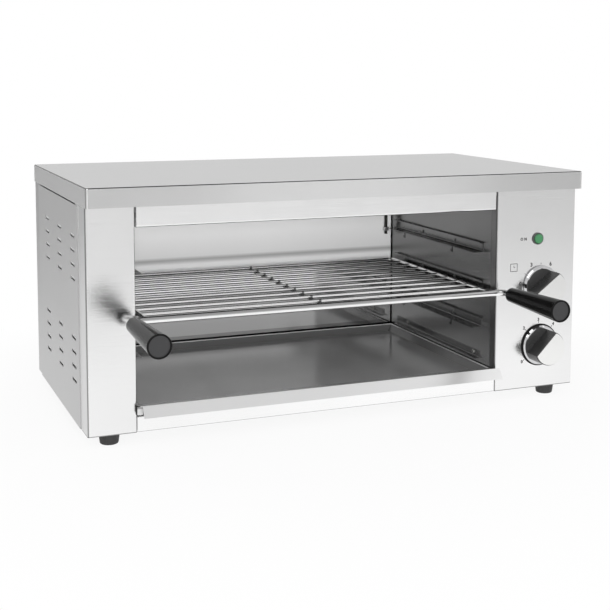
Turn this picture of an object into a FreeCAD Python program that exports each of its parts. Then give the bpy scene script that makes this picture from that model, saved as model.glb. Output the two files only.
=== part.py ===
"""Countertop salamander grill: a folded steel cabinet, open at the front, with two heating
elements under its roof, a pull-out wire rack with two grips, a crumb tray and two dials.

Millimetres, +Z up, the front faces -Y. The origin lies on the ground under the middle of the
whole grill, grips included."""
import FreeCAD, Part
import os
import re
import Sketcher
from FreeCAD import Placement, Rotation, Vector

# Every size that can be chosen by itself
SIZES = {
    # Cabinet and its folded sheets
    "cabinet_width": 610,
    "cabinet_depth": 330,
    "cabinet_height": 282,
    "origin_to_back": 223,
    "outer_sheet": 1.0,
    "liner_sheet": 0.8,
    "bend_radius": 1.2,
    "seam_gap": 0.3,
    # Lid
    "lid_lip": 21.5,
    "lid_corner_radius": 3,
    "lid_edge_radius": 1.6,
    "lid_front_overhang": 12.5,
    "lid_shadow_gap": 1.5,
    # Front frame
    "left_column_width": 53.5,
    "control_panel_width": 111.5,
    "side_return": 35,
    "side_return_lap": 12,
    "opening_return": 12,
    "beam_height": 23.5,
    "beam_end_gap": 1.7,
    "beam_return": 15,
    "beam_tab_inset": 0.8,
    "rail_height": 18.5,
    "rail_return": 24,
    # Rear and base
    "back_return": 32,
    "pan_flange": 16,
    # Cooking cavity
    "cavity_rear_space": 27,
    "cavity_corner_gap": 1.5,
    "liner_flange": 14,
    "ceiling_drop": 29,
    # Rack supports and tray runners
    "support_height": 12.2,
    "support_ledge": 14,
    "support_lip": 5,
    "support_length": 240,
    "support_setback": 32,
    "support_pitch": 46.9,
    "support_drop": 55.5,
    "hook_width": 4.6,
    "hook_length": 6.6,
    "hook_stem": 2.2,
    "hook_tip": 3,
    "hook_overlap": 0.4,
    "hook_setback": 53,
    "hook_spacing": 135,
    "runner_height": 9,
    "runner_ledge": 7,
    "runner_gap": 5.8,
    "runner_length": 232,
    "runner_setback": 36,
    "runner_screw_setback": 14,
    "runner_screw_spacing": 184,
    # Louvres in the sides and the back
    "louvre_length": 26,
    "louvre_height": 4.8,
    "louvre_depth": 2.4,
    "louvre_skin": 0.7,
    "louvre_tip_skin": 1.1,
    "louvre_rows": 4,
    "louvre_columns": 3,
    "louvre_pitch": 16,
    "louvre_spacing": 80,
    "louvre_front_setback": 42,
    "upper_louvre_drop": 87,
    "lower_louvre_rise": 45.5,
    "back_louvre_columns": 5,
    "back_louvre_spacing": 90,
    # Heating elements
    "element_diameter": 8,
    "element_span": 70,
    "element_bend": 30,
    "element_spacing": 120,
    "element_drop": 14,
    "element_setback": 56,
    "element_left_gap": 30,
    "element_tail": 26,
    "gland_radius": 8,
    "gland_length": 5,
    "pin_radius": 2,
    "pin_length": 8,
    "hanger_thickness": 1.5,
    "hanger_inset": 90,
    # Thermostat bulb
    "bulb_diameter": 4,
    "bulb_length": 66,
    "bulb_drop": 81,
    "bulb_from_wall": 11.5,
    "bulb_standoff": 3,
    "capillary_radius": 0.8,
    "capillary_drop": 4,
    "clip_height": 5,
    "clip_spacing": 36,
    "clip_thickness": 1,
    # Dials
    "dial_across": 48.2,
    "lower_dial_rise": 53,
    "upper_dial_rise": 74.6,
    "dial_gap": 0.8,
    "dial_radius": 21,
    "dial_depth": 24,
    "dial_ledge": 5,
    "dial_flat": 8.2,
    "upper_dial_turn": 126,
    "lower_dial_turn": 135,
    "dial_edge_radius": 0.8,
    "skirt_radius": 24.4,
    "skirt_height": 4,
    "skirt_bevel": 1.6,
    "skirt_fit": 0.05,
    "dial_cap_inset": 0.9,
    "dial_cap_thickness": 1,
    "bezel_radius": 26.2,
    "bezel_thickness": 0.6,
    "shaft_radius": 3,
    "shaft_fit": 0.05,
    "shaft_grip_depth": 12,
    "shaft_tail": 6,
    "bush_radius": 5,
    "bush_length": 5,
    "bush_stand": 0.2,
    "switch_width": 42,
    "switch_height": 40,
    "switch_depth": 30,
    "switch_corner": 3,
    # Pilot lamp
    "lamp_across": 53.5,
    "lamp_rise": 58.1,
    "lamp_bezel_radius": 7.4,
    "lamp_bezel_thickness": 1.6,
    "lamp_barrel_radius": 5.5,
    "lamp_barrel_length": 26,
    "lens_radius": 6.3,
    "lens_rise": 1.8,
    "lens_rounding": 1.6,
    "lens_seat_depth": 0.8,
    "hole_clearance": 0.2,
    # Mains connection
    "inlet_across": 45,
    "inlet_rise": 36,
    "inlet_bore_radius": 4.6,
    "inlet_body_radius": 8,
    "inlet_head_radius": 12,
    "inlet_head_thickness": 5,
    "inlet_tail": 14,
    "block_width": 24,
    "block_depth": 40,
    "block_height": 22,
    "block_wall_gap": 22,
    "terminal_pitch": 10,
    "terminal_radius": 3,
    "terminal_depth": 6,
    # Feet
    "foot_height": 15,
    "foot_top_radius": 12,
    "foot_sole_radius": 10,
    "foot_rounding": 2,
    "foot_inset": 28,
    "foot_front_inset": 32,
    "foot_rear_inset": 30,
    "foot_socket_radius": 4.5,
    "foot_socket_depth": 8,
    # Screws
    "screw_head_radius": 3.4,
    "screw_head_height": 2,
    "screw_radius": 1.9,
    "screw_length": 6,
    "small_head_radius": 3.1,
    "small_head_height": 1.4,
    "head_bevel": 0.7,
    "foot_screw_grip": 3,
    "back_screw_inset": 9,
    "corner_screw_inset": 30,
    "inner_screw_across": 91,
    # Rack
    "rod_radius": 4,
    "rod_front_gap": 0.9,
    "rod_bend": 12,
    "rod_drop": 1,
    "shank_outset": 7.8,
    "wire_radius": 2,
    "frame_wire_radius": 2.5,
    "frame_wire_inset": 9.5,
    "frame_wire_bend": 9,
    "spine_drop": 2.6,
    "rack_gap": 0.3,
    "rack_depth": 272.5,
    "rack_bars": 10,
    # Grips
    "grip_start": 15.3,
    "grip_length": 108.3,
    "grip_back_radius": 8.6,
    "grip_front_radius": 12.8,
    "grip_chamfer": 4,
    "grip_shoulder": 2,
    "grip_front_rounding": 1,
    "grip_recess_radius": 10.9,
    "grip_recess_depth": 2.5,
    "grip_disc_thickness": 1.5,
    "grip_bore_depth": 70,
    # Crumb tray
    "tray_sheet": 0.8,
    "tray_gap": 0.3,
    "tray_side_gap": 2,
    "tray_rear_gap": 6,
    "tray_wall": 8,
    "tray_apron_length": 46,
    "tray_side_slope": 10,
    "tray_side_skin": 1.2,
    "tray_cheek_setback": 2,
    "tray_lip_outset": 8,
    "tray_lip_rise": 11.9,
    "tray_lip_drop": 11.4,
    "tray_lip_slant": 9,
    "tray_lip_skin": 0.9,
    "tray_lip_end_inset": 2,
    "tray_lip_end_lap": 4,
    "tray_tab_reach": 3.2,
    "tray_tab_drop": 1,
    "tray_tab_rise": 2.2,
    "tray_tab_setback": 1.2,
}

# Places worked out from the sizes
PLACES = {
    "side_face": "cabinet_width / 2 - outer_sheet",
    "back_face": "origin_to_back",
    "rear_face": "back_face - outer_sheet",
    "lid_front": "origin_to_back - cabinet_depth",
    "front_face": "lid_front + lid_front_overhang",
    "body_bottom": "foot_height - outer_sheet",
    "pan_floor": "foot_height + outer_sheet",
    "lid_bottom": "cabinet_height - lid_lip",
    "shell_top": "cabinet_height - outer_sheet - seam_gap",
    "opening_left": "left_column_width - side_face",
    "opening_right": "side_face - control_panel_width",
    "opening_middle": "(opening_left + opening_right) / 2",
    "beam_bottom": "lid_bottom - beam_height",
    "rail_top": "body_bottom + rail_height",
    "wall_front": "front_face + opening_return + seam_gap",
    "cavity_back": "back_face - cavity_rear_space",
    "ceiling": "cabinet_height - ceiling_drop",
    "liner_top": "shell_top - seam_gap",
    "panel_front": "front_face + side_return",
    "panel_back": "back_face - back_return",
    "upper_support_level": "beam_bottom - support_drop",
    "middle_support_level": "upper_support_level - support_pitch",
    "lower_support_level": "middle_support_level - support_pitch",
    "support_front": "front_face + support_setback",
    "wire_level": "middle_support_level + liner_sheet + rack_gap + frame_wire_radius",
    "rod_level": "wire_level - rod_drop",
    "rod_front": "front_face - rod_front_gap - rod_radius",
    "left_shank": "opening_left - shank_outset",
    "right_shank": "opening_right + shank_outset",
    "grip_back": "rod_front - grip_start",
    "grip_front": "grip_back - grip_length",
    "rack_back": "rod_front + rack_depth",
    "dial_x": "side_face - dial_across",
    "lower_dial_level": "body_bottom + lower_dial_rise",
    "upper_dial_level": "lower_dial_level + upper_dial_rise",
    "lamp_level": "upper_dial_level + lamp_rise",
    "inlet_level": "body_bottom + inlet_rise",
    "upper_louvre_level": "lid_bottom - upper_louvre_drop",
    "lower_louvre_level": "body_bottom + lower_louvre_rise",
    "lamp_x": "side_face - lamp_across",
    "inlet_x": "side_face - inlet_across",
    "tray_bottom": "rail_top + tray_gap",
    "tray_left": "opening_left + tray_side_gap",
    "tray_right": "opening_right - tray_side_gap",
    "tray_back": "cavity_back - tray_rear_gap",
    "tray_wall_top": "tray_bottom + tray_sheet + tray_wall",
    "runner_level": "tray_wall_top + runner_gap",
    "tray_lip_front": "front_face - tray_lip_outset",
    "tray_lip_top": "tray_bottom + tray_lip_rise",
    "tray_lip_bottom": "tray_lip_top - tray_lip_drop",
    "tray_apron_back": "tray_lip_front + tray_apron_length",
    "tray_slope": "(tray_lip_rise - tray_sheet) / tray_apron_length",
    "tray_tub_front": "tray_apron_back - tray_wall / tray_slope",
    "tray_cheek_front": "tray_lip_front + tray_cheek_setback",
    "tray_cheek_top": "tray_bottom + (tray_apron_back - tray_cheek_front) * tray_slope",
    "element_level": "ceiling - element_drop",
    "element_front": "front_face + element_setback",
    "element_ends": "opening_right + element_tail",
    "dial_back": "front_face - dial_gap",
    "switch_front": "front_face + outer_sheet",
    "frame_wire_left": "opening_left + frame_wire_inset",
    "frame_wire_right": "opening_right - frame_wire_inset",
    "bulb_level": "ceiling - bulb_drop",
    "bulb_x": "opening_right - bulb_from_wall",
    "bulb_y": "cavity_back - bulb_standoff - bulb_diameter / 2",
}

DOC = FreeCAD.newDocument("SalamanderGrill")


def full(expression):
    """The expression with each named value given the sheet that holds it."""
    def owner(match):
        word = match.group(0)
        if word in SIZES:
            return "Sizes." + word
        if word in PLACES:
            return "Places." + word
        return word
    return re.sub(r"[A-Za-z_][A-Za-z_0-9]*", owner, str(expression))


def fill_sheet(name, cells, as_formula):
    """A spreadsheet with a name in column A and its value or formula in column B."""
    sheet = DOC.addObject("Spreadsheet::Sheet", name)
    for row, (alias, content) in enumerate(cells.items(), start=1):
        sheet.set(f"A{row}", alias)
        text = "=" + full(content).replace(name + ".", "") if as_formula else str(content)
        sheet.set(f"B{row}", text)
        sheet.setAlias(f"B{row}", alias)
    DOC.recompute()
    return sheet


SIZE_SHEET = fill_sheet("Sizes", SIZES, as_formula=False)
PLACE_SHEET = fill_sheet("Places", PLACES, as_formula=True)


def value(expression):
    """The number that an expression on the sheets gives now."""
    return float(PLACE_SHEET.evalExpression(full(expression)))


# Global axis that each base plane looks along, and which way its own normal points
PLANES = {
    "XY_Plane": (2, 1),
    "XZ_Plane": (1, -1),
    "YZ_Plane": (0, 1),
}


class Piece:
    """One sub-part: a body whose sketches and features take their sizes from the sheets."""

    def __init__(self, label, place=None):
        self.body = DOC.addObject("PartDesign::Body", label)
        self.body.Label = label
        self.body.AllowCompound = True
        if place:
            for axis, expression in zip("xyz", place):
                self.body.setExpression(f"Placement.Base.{axis}", full(expression))

    def sketch(self, plane, level="0", across="0", up="0", turn=None):
        """A sketch on a base plane, moved along the plane's axis to a level."""
        sketch = self.body.newObject("Sketcher::SketchObject", "Sketch")
        base = [item for item in self.body.Origin.OriginFeatures if item.Role == plane][0]
        sketch.AttachmentSupport = (base, [""])
        sketch.MapMode = "FlatFace"
        sign = PLANES[plane][1]
        if turn is not None:
            sketch.AttachmentOffset = Placement(Vector(), Rotation(Vector(0, 0, 1), value(turn)))
            sketch.setExpression("AttachmentOffset.Rotation.Angle", full(turn))
        sketch.setExpression("AttachmentOffset.Base.x", full(across))
        sketch.setExpression("AttachmentOffset.Base.y", full(up))
        sketch.setExpression("AttachmentOffset.Base.z", full(f"{sign} * ({level})"))
        sketch.Label = self.body.Label + "_sketch_" + plane[:2].lower()
        self.plane = plane
        return sketch

    @staticmethod
    def fix(sketch, item, point, across, up):
        """Hold one point of a sketch's item at a place from the sheets."""
        for kind, expression in (("DistanceX", across), ("DistanceY", up)):
            constraint = Sketcher.Constraint(kind, -1, 1, item, point, value(expression))
            index = sketch.addConstraint(constraint)
            sketch.setExpression(f"Constraints[{index}]", full(expression))

    def polygon(self, sketch, corners):
        """A closed outline of straight edges through the corners."""
        spots = [Vector(value(across), value(up), 0) for across, up in corners]
        first = sketch.GeometryCount
        count = len(spots)
        for index, spot in enumerate(spots):
            sketch.addGeometry(Part.LineSegment(spot, spots[(index + 1) % count]))
        for index in range(count):
            following = first + (index + 1) % count
            sketch.addConstraint(Sketcher.Constraint("Coincident", first + index, 2, following, 1))
        for index, (across, up) in enumerate(corners):
            self.fix(sketch, first + index, 1, across, up)

    def rectangle(self, sketch, left, right, bottom, top):
        """A closed rectangle between two pairs of levels."""
        self.polygon(sketch, [(left, bottom), (right, bottom), (right, top), (left, top)])

    def circle(self, sketch, across, up, radius):
        """A circle whose centre and radius come from the sheets."""
        centre = Vector(value(across), value(up), 0)
        item = sketch.addGeometry(Part.Circle(centre, Vector(0, 0, 1), value(radius)))
        self.fix(sketch, item, 3, across, up)
        index = sketch.addConstraint(Sketcher.Constraint("Radius", item, value(radius)))
        sketch.setExpression(f"Constraints[{index}]", full(radius))

    def settle(self, feature):
        """Make a feature the body's newest one, work it out and insist that it succeeds."""
        self.body.Tip = feature
        DOC.recompute()
        if "Invalid" in feature.State or "Error" in feature.State:
            raise RuntimeError(f"{self.body.Label}: {feature.Label} did not build")
        return feature

    def pad(self, sketch, length, towards=1, taper="0 deg"):
        """Material from the sketch to a length along the plane's axis, wider or, with a taper
        below zero, narrower at its far end."""
        feature = self.body.newObject("PartDesign::Pad", "Pad")
        feature.Profile = sketch
        feature.setExpression("Length", full(length))
        feature.setExpression("TaperAngle", full(taper))
        feature.Reversed = towards != PLANES[self.plane][1]
        return self.settle(feature)

    def cut(self, sketch, length, towards=1, taper="0 deg"):
        """A recess or hole from the sketch to a depth along the plane's axis, with a taper as
        in pad."""
        before = self.body.Shape.Volume
        feature = self.body.newObject("PartDesign::Pocket", "Pocket")
        feature.Profile = sketch
        feature.setExpression("Length", full(length))
        feature.setExpression("TaperAngle", full(taper))
        feature.Reversed = towards == PLANES[self.plane][1]
        self.settle(feature)
        if self.body.Shape.Volume >= before:
            raise RuntimeError(f"{self.body.Label}: a cut takes nothing away")
        return feature

    def revolve(self, sketch, axis):
        """A turned form about the sketch's own H or V axis."""
        feature = self.body.newObject("PartDesign::Revolution", "Revolution")
        feature.Profile = sketch
        feature.ReferenceAxis = (sketch, [axis + "_Axis"])
        feature.Angle = 360
        return self.settle(feature)

    def pipe(self, section, path):
        """A round bar along a path."""
        feature = self.body.newObject("PartDesign::AdditivePipe", "Pipe")
        feature.Profile = section
        feature.Spine = (path, [f"Edge{n + 1}" for n in range(path.GeometryCount)])
        return self.settle(feature)

    def edges(self, axis, spots):
        """Names of the straight edges along an axis that pass through the given spots."""
        others = [n for n in range(3) if n != axis]
        found = []
        numbers = [tuple(value(part) for part in spot) for spot in spots]
        for index, edge in enumerate(self.body.Shape.Edges, start=1):
            if not isinstance(edge.Curve, Part.Line):
                continue
            if abs(abs(edge.Curve.Direction[axis]) - 1) > 1e-6:
                continue
            middle = edge.CenterOfMass
            here = tuple(middle[n] for n in others)
            if any(abs(here[0] - a) < 0.01 and abs(here[1] - b) < 0.01 for a, b in numbers):
                found.append(f"Edge{index}")
        return found

    def rim(self, axis, level, wider_than=None):
        """Names of the edges that lie wholly at a level along an axis, or of those among them
        that are circles above a radius."""
        height = value(level)
        found = []
        for index, edge in enumerate(self.body.Shape.Edges, start=1):
            if wider_than and getattr(edge.Curve, "Radius", 0) <= value(wider_than) + 0.01:
                continue
            box = edge.BoundBox
            low, high = ((box.XMin, box.XMax), (box.YMin, box.YMax), (box.ZMin, box.ZMax))[axis]
            if abs(low - height) < 0.01 and abs(high - height) < 0.01:
                found.append(f"Edge{index}")
        return found

    def soften(self, radius, names, kind="Fillet"):
        """A fillet or chamfer on named edges."""
        if not names:
            raise RuntimeError(f"{self.body.Label}: no edge to soften")
        base = self.body.Tip
        feature = self.body.newObject("PartDesign::" + kind, kind)
        feature.Base = (base, names)
        feature.setExpression("Radius" if kind == "Fillet" else "Size", full(radius))
        return self.settle(feature)

    def repeat(self, features, axis, length, count, axis2=None, length2=None, count2=None):
        """Copies of features spread evenly over a length along one or two axes."""
        feature = self.body.newObject("PartDesign::LinearPattern", "Pattern")
        feature.Originals = features
        lines = {item.Role[0]: item for item in self.body.Origin.OriginFeatures
                 if item.Role.endswith("_Axis")}
        feature.Direction = (lines[axis], [""])
        feature.setExpression("Length", full(length))
        feature.setExpression("Occurrences", full(count))
        if axis2:
            feature.Direction2 = (lines[axis2], [""])
            feature.setExpression("Length2", full(length2))
            feature.setExpression("Occurrences2", full(count2))
        return self.settle(feature)

    def folded(self, plane, path, sheet, level, length, side):
        """A strip of sheet folded along a path of level and upright runs, then drawn out along
        the plane's axis. The sheet lies on the given side of the path, and each fold has the
        sheet's bend radius inside."""
        spots = [(value(across), value(up)) for across, up in path]
        normals = []
        for start, end in zip(spots, spots[1:]):
            run = (end[0] - start[0], end[1] - start[1])
            size = abs(run[0]) + abs(run[1])
            normals.append((round(-side * run[1] / size), round(side * run[0] / size)))
        inner = []
        for index, (across, up) in enumerate(path):
            around = normals[max(0, index - 1):index + 1]
            shift = [sum(n[axis] for n in around) for axis in (0, 1)]
            inner.append((f"({across}) + {shift[0]} * {sheet}", f"({up}) + {shift[1]} * {sheet}"))
        sketch = self.sketch(plane, level)
        self.polygon(sketch, path + inner[::-1])
        self.pad(sketch, length)
        axis = PLANES[plane][0]
        folds = path[1:-1]
        if folds:
            self.soften(f"bend_radius + {sheet}", self.edges(axis, folds))
            self.soften("bend_radius", self.edges(axis, inner[1:-1]))


def u_path(piece, level, legs, legs_start, left, right, bar, bend):
    """A U-shaped path in a level plane: two legs along X or Y from their open ends to a
    crossbar, with a round bend at each corner."""
    sketch = piece.sketch("XY_Plane", level)
    start, low, high, end, radius = (value(item) for item in (legs_start, left, right, bar, bend))
    inward = 1 if end > start else -1
    spot = (lambda along, over: Vector(over, along, 0)) if legs == "Y" else (
        lambda along, over: Vector(along, over, 0))
    corner = end - inward * radius
    tip = end - inward * radius * (1 - 0.5 ** 0.5)
    reach = radius * (1 - 0.5 ** 0.5)
    first = sketch.addGeometry(Part.LineSegment(spot(start, low), spot(corner, low)))
    bend_one = sketch.addGeometry(
        Part.Arc(spot(corner, low), spot(tip, low + reach), spot(end, low + radius)))
    cross = sketch.addGeometry(Part.LineSegment(spot(end, low + radius), spot(end, high - radius)))
    bend_two = sketch.addGeometry(
        Part.Arc(spot(end, high - radius), spot(tip, high - reach), spot(corner, high)))
    last = sketch.addGeometry(Part.LineSegment(spot(corner, high), spot(start, high)))
    chain = (first, bend_one, cross, bend_two, last)
    for before, after in zip(chain, chain[1:]):
        ends = joined_ends(sketch, before, after)
        sketch.addConstraint(Sketcher.Constraint("Tangent", before, ends[0], after, ends[1]))
    along_legs = "Vertical" if legs == "Y" else "Horizontal"
    for leg in (first, last):
        sketch.addConstraint(Sketcher.Constraint(along_legs, leg))
    for arc in (bend_one, bend_two):
        index = sketch.addConstraint(Sketcher.Constraint("Radius", arc, radius))
        sketch.setExpression(f"Constraints[{index}]", full(bend))
    if legs == "Y":
        piece.fix(sketch, first, 1, left, legs_start)
        piece.fix(sketch, last, 2, right, legs_start)
        hold = ("DistanceY", -1, 1, cross, 1, end)
    else:
        piece.fix(sketch, first, 1, legs_start, left)
        piece.fix(sketch, last, 2, legs_start, right)
        hold = ("DistanceX", -1, 1, cross, 1, end)
    index = sketch.addConstraint(Sketcher.Constraint(*hold))
    sketch.setExpression(f"Constraints[{index}]", full(bar))
    return sketch


def joined_ends(sketch, before, after):
    """Which ends of two neighbouring items of a path meet."""
    pairs = [(a, b) for a in (1, 2) for b in (1, 2)]
    return min(pairs, key=lambda pair: (
        sketch.getPoint(before, pair[0]) - sketch.getPoint(after, pair[1])).Length)


def top_cover():
    """The lid: a plate with a lip folded down all round."""
    piece = Piece("top_cover")
    half = "cabinet_width / 2"
    outline = piece.sketch("XY_Plane", "lid_bottom")
    piece.rectangle(outline, "-" + half, half, "lid_front", "back_face")
    piece.pad(outline, "lid_lip")
    hollow = piece.sketch("XY_Plane", "lid_bottom")
    inside = ("-side_face", "side_face", "lid_front + outer_sheet", "rear_face")
    piece.rectangle(hollow, *inside)
    piece.cut(hollow, "lid_lip - outer_sheet")
    inner = [(x, y) for x in inside[:2] for y in inside[2:]]
    outer = [(x, y) for x in ("-" + half, half) for y in ("lid_front", "back_face")]
    piece.soften("lid_corner_radius - outer_sheet", piece.edges(2, inner))
    piece.soften("lid_corner_radius", piece.edges(2, outer))
    piece.soften("lid_edge_radius", piece.rim(2, "cabinet_height"))
    drill(piece, "XZ_Plane", "rear_face", LID_SCREWS, "screw_radius + hole_clearance", "outer_sheet")


def drill(piece, plane, level, spots, radius, depth, towards=1):
    """Round holes of one radius at several spots."""
    holes = piece.sketch(plane, level)
    for across, up in spots:
        piece.circle(holes, across, up, radius)
    piece.cut(holes, depth, towards)


def base_pan():
    """The pan that carries everything, with a flange up on each side."""
    piece = Piece("base_pan")
    left, right = "-(side_face - outer_sheet - seam_gap)", "side_face - outer_sheet - seam_gap"
    front, back = "front_face + outer_sheet + seam_gap", "rear_face - outer_sheet - seam_gap"
    outline = piece.sketch("XY_Plane", "foot_height")
    piece.rectangle(outline, left, right, front, back)
    piece.pad(outline, "pan_flange")
    corners = [(x, y) for x in (left, right) for y in (front, back)]
    piece.soften("bend_radius", piece.edges(2, corners) + piece.rim(2, "foot_height"))
    hollow = piece.sketch("XY_Plane", "pan_floor")
    piece.rectangle(hollow, left + " + outer_sheet", right + " - outer_sheet",
                    front + " + outer_sheet", back + " - outer_sheet")
    piece.cut(hollow, "pan_flange")
    drill(piece, "XY_Plane", "foot_height", FOOT_SPOTS, "screw_radius + hole_clearance", "outer_sheet")
    drill(piece, "XZ_Plane", back + " - outer_sheet", BACK_SCREWS, "screw_radius + hole_clearance",
          "outer_sheet")


def front_bottom_rail():
    """The folded strip under the opening."""
    piece = Piece("front_bottom_rail")
    path = [("front_face + rail_return", "body_bottom"), ("front_face", "body_bottom"),
            ("front_face", "rail_top"), ("front_face + rail_return", "rail_top")]
    piece.folded("YZ_Plane", path, "outer_sheet", "opening_left + seam_gap",
                 "opening_right - opening_left - 2 * seam_gap", side=-1)


def front_beam():
    """The folded strip over the opening, with a tab and a gap at each end."""
    piece = Piece("front_beam")
    path = [("front_face + beam_return", "beam_bottom"), ("front_face", "beam_bottom"),
            ("front_face", "liner_top"), ("front_face + beam_return", "liner_top")]
    piece.folded("YZ_Plane", path, "outer_sheet", "opening_left + beam_end_gap",
                 "opening_right - opening_left - 2 * beam_end_gap", side=-1)
    tab = ("front_face + beam_tab_inset", "front_face + beam_return", "beam_bottom + beam_tab_inset",
           "ceiling - seam_gap")
    for start in ("opening_left + beam_end_gap", "opening_right - beam_end_gap - outer_sheet"):
        end = piece.sketch("YZ_Plane", start)
        piece.rectangle(end, *tab)
        piece.pad(end, "outer_sheet")


def front_post(label, outer, inner, side):
    """A front post: a face with a return along the cabinet's side and one into the opening,
    cut away at its foot for the base pan."""
    piece = Piece(label)
    path = [(outer, "panel_front + side_return_lap"), (outer, "front_face"),
            (inner, "front_face"), (inner, "front_face + opening_return")]
    piece.folded("XY_Plane", path, "outer_sheet", "body_bottom", "shell_top - body_bottom", side)
    notch = piece.sketch("XZ_Plane", "front_face + outer_sheet")
    piece.rectangle(notch, f"{inner} - {2 * side} * outer_sheet - {side} * bend_radius",
                    f"{inner} + {side} * outer_sheet", "body_bottom - outer_sheet", "rail_top")
    piece.cut(notch, "opening_return")
    return piece


def left_front_column():
    """The plain post left of the opening."""
    front_post("left_front_column", "-side_face", "opening_left", side=1)


def control_panel():
    """The wide post right of the opening, holed for the lamp and the two dials."""
    piece = front_post("control_panel", "side_face", "opening_right", side=-1)
    drill(piece, "XZ_Plane", "front_face", [("lamp_x", "lamp_level")],
          "lamp_barrel_radius + hole_clearance", "outer_sheet")
    dials = [("dial_x", "upper_dial_level"), ("dial_x", "lower_dial_level")]
    drill(piece, "XZ_Plane", "front_face", dials, "bush_radius + hole_clearance", "outer_sheet")


def louvres(piece, plane, outer, inward, start, level, spread, columns, spacing):
    """A block of louvres pressed inwards: each is a sloping hood over a cut, open below."""
    inner = f"{outer} + {inward} * outer_sheet"
    tip = f"{inner} + {inward} * louvre_depth"
    hood = piece.sketch(plane, start)
    piece.polygon(hood, [(inner, level), (tip, level), (inner, f"{level} + louvre_height")])
    press = piece.pad(hood, "louvre_length")
    slit = piece.sketch(plane, f"{start} + louvre_skin")
    piece.polygon(slit, [(outer, level), (f"{tip} - {inward} * louvre_tip_skin", level),
                         (outer, f"{level} + louvre_height - louvre_skin")])
    opening = piece.cut(slit, "louvre_length - 2 * louvre_skin")
    piece.repeat([press, opening], "Z", "(louvre_rows - 1) * louvre_pitch", "louvre_rows",
                 spread, f"({columns} - 1) * {spacing}", columns)


def side_panel(label, outer, inward):
    """A side plate over the posts' and the back's returns, with two blocks of louvres."""
    piece = Piece(label)
    plate = piece.sketch("YZ_Plane", outer)
    piece.rectangle(plate, "panel_front", "panel_back", "body_bottom", "lid_bottom - lid_shadow_gap")
    piece.pad(plate, "outer_sheet", towards=inward)
    start = "panel_front + louvre_front_setback - louvre_length"
    for level in ("upper_louvre_level", "lower_louvre_level"):
        louvres(piece, "XZ_Plane", outer, inward, start, level, "Y", "louvre_columns",
                "louvre_spacing")


def back_panel():
    """The back with its side returns, two blocks of louvres and a hole for the inlet."""
    piece = Piece("back_panel")
    ends = "panel_back - side_return_lap"
    path = [("-side_face", ends), ("-side_face", "rear_face"), ("side_face", "rear_face"),
            ("side_face", ends)]
    piece.folded("XY_Plane", path, "outer_sheet", "body_bottom", "shell_top - body_bottom", side=-1)
    start = "-((back_louvre_columns - 1) * back_louvre_spacing + louvre_length) / 2"
    louvres(piece, "YZ_Plane", "rear_face", -1, start, "upper_louvre_level", "X",
            "back_louvre_columns", "back_louvre_spacing")
    drill(piece, "XZ_Plane", "rear_face - outer_sheet", [("inlet_x", "inlet_level")],
          "inlet_body_radius + hole_clearance", "outer_sheet")
    drill(piece, "XZ_Plane", "rear_face - outer_sheet", BACK_SCREWS + LID_SCREWS,
          "screw_radius + hole_clearance", "outer_sheet")


def cavity_side_wall(label, face, side):
    """A side liner with a flange on the base pan and one under the lid."""
    piece = Piece(label)
    out = f"{face} - {side} * liner_flange"
    path = [(out, "pan_floor"), (face, "pan_floor"), (face, "liner_top"), (out, "liner_top")]
    piece.folded("XZ_Plane", path, "liner_sheet", "wall_front", "cavity_back - wall_front", side)
    start = face if side < 0 else face + " - liner_sheet"
    drill(piece, "YZ_Plane", start, RUNNER_SCREWS, "screw_radius + hole_clearance", "liner_sheet")
    return piece


def cavity_walls():
    """The side liners and the back liner."""
    cavity_side_wall("cavity_left_wall", "opening_left", side=1)
    right = cavity_side_wall("cavity_right_wall", "opening_right", side=-1)
    drill(right, "YZ_Plane", "opening_right", ELEMENT_LEGS, "element_diameter / 2 + hole_clearance",
          "liner_sheet")
    drill(right, "YZ_Plane", "opening_right", [("bulb_y", "bulb_level + bulb_length - capillary_drop")],
          "capillary_radius + hole_clearance", "liner_sheet")
    back = Piece("cavity_back_wall")
    flange = "cavity_back + liner_flange"
    path = [(flange, "pan_floor"), ("cavity_back", "pan_floor"), ("cavity_back", "liner_top"),
            (flange, "liner_top")]
    back.folded("YZ_Plane", path, "liner_sheet", "opening_left + cavity_corner_gap",
                "opening_right - opening_left - 2 * cavity_corner_gap", side=-1)


def cavity_floor():
    """The cavity's floor on two down-turned flanges."""
    piece = Piece("cavity_floor")
    left, right = "opening_left + seam_gap", "opening_right - seam_gap"
    path = [(left, "pan_floor"), (left, "rail_top"), (right, "rail_top"), (right, "pan_floor")]
    piece.folded("XZ_Plane", path, "liner_sheet", "front_face + rail_return + seam_gap",
                 "cavity_back - front_face - rail_return - 2 * seam_gap", side=-1)


def cavity_ceiling():
    """The reflector over the heating elements, with a flange up on each side."""
    piece = Piece("cavity_ceiling")
    left, right = "opening_left + seam_gap", "opening_right - seam_gap"
    flange = "ceiling + liner_flange"
    path = [(left, flange), (left, "ceiling"), (right, "ceiling"), (right, flange)]
    piece.folded("XZ_Plane", path, "liner_sheet", "front_face + outer_sheet + seam_gap",
                 "cavity_back - front_face - outer_sheet - 2 * seam_gap", side=1)


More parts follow.
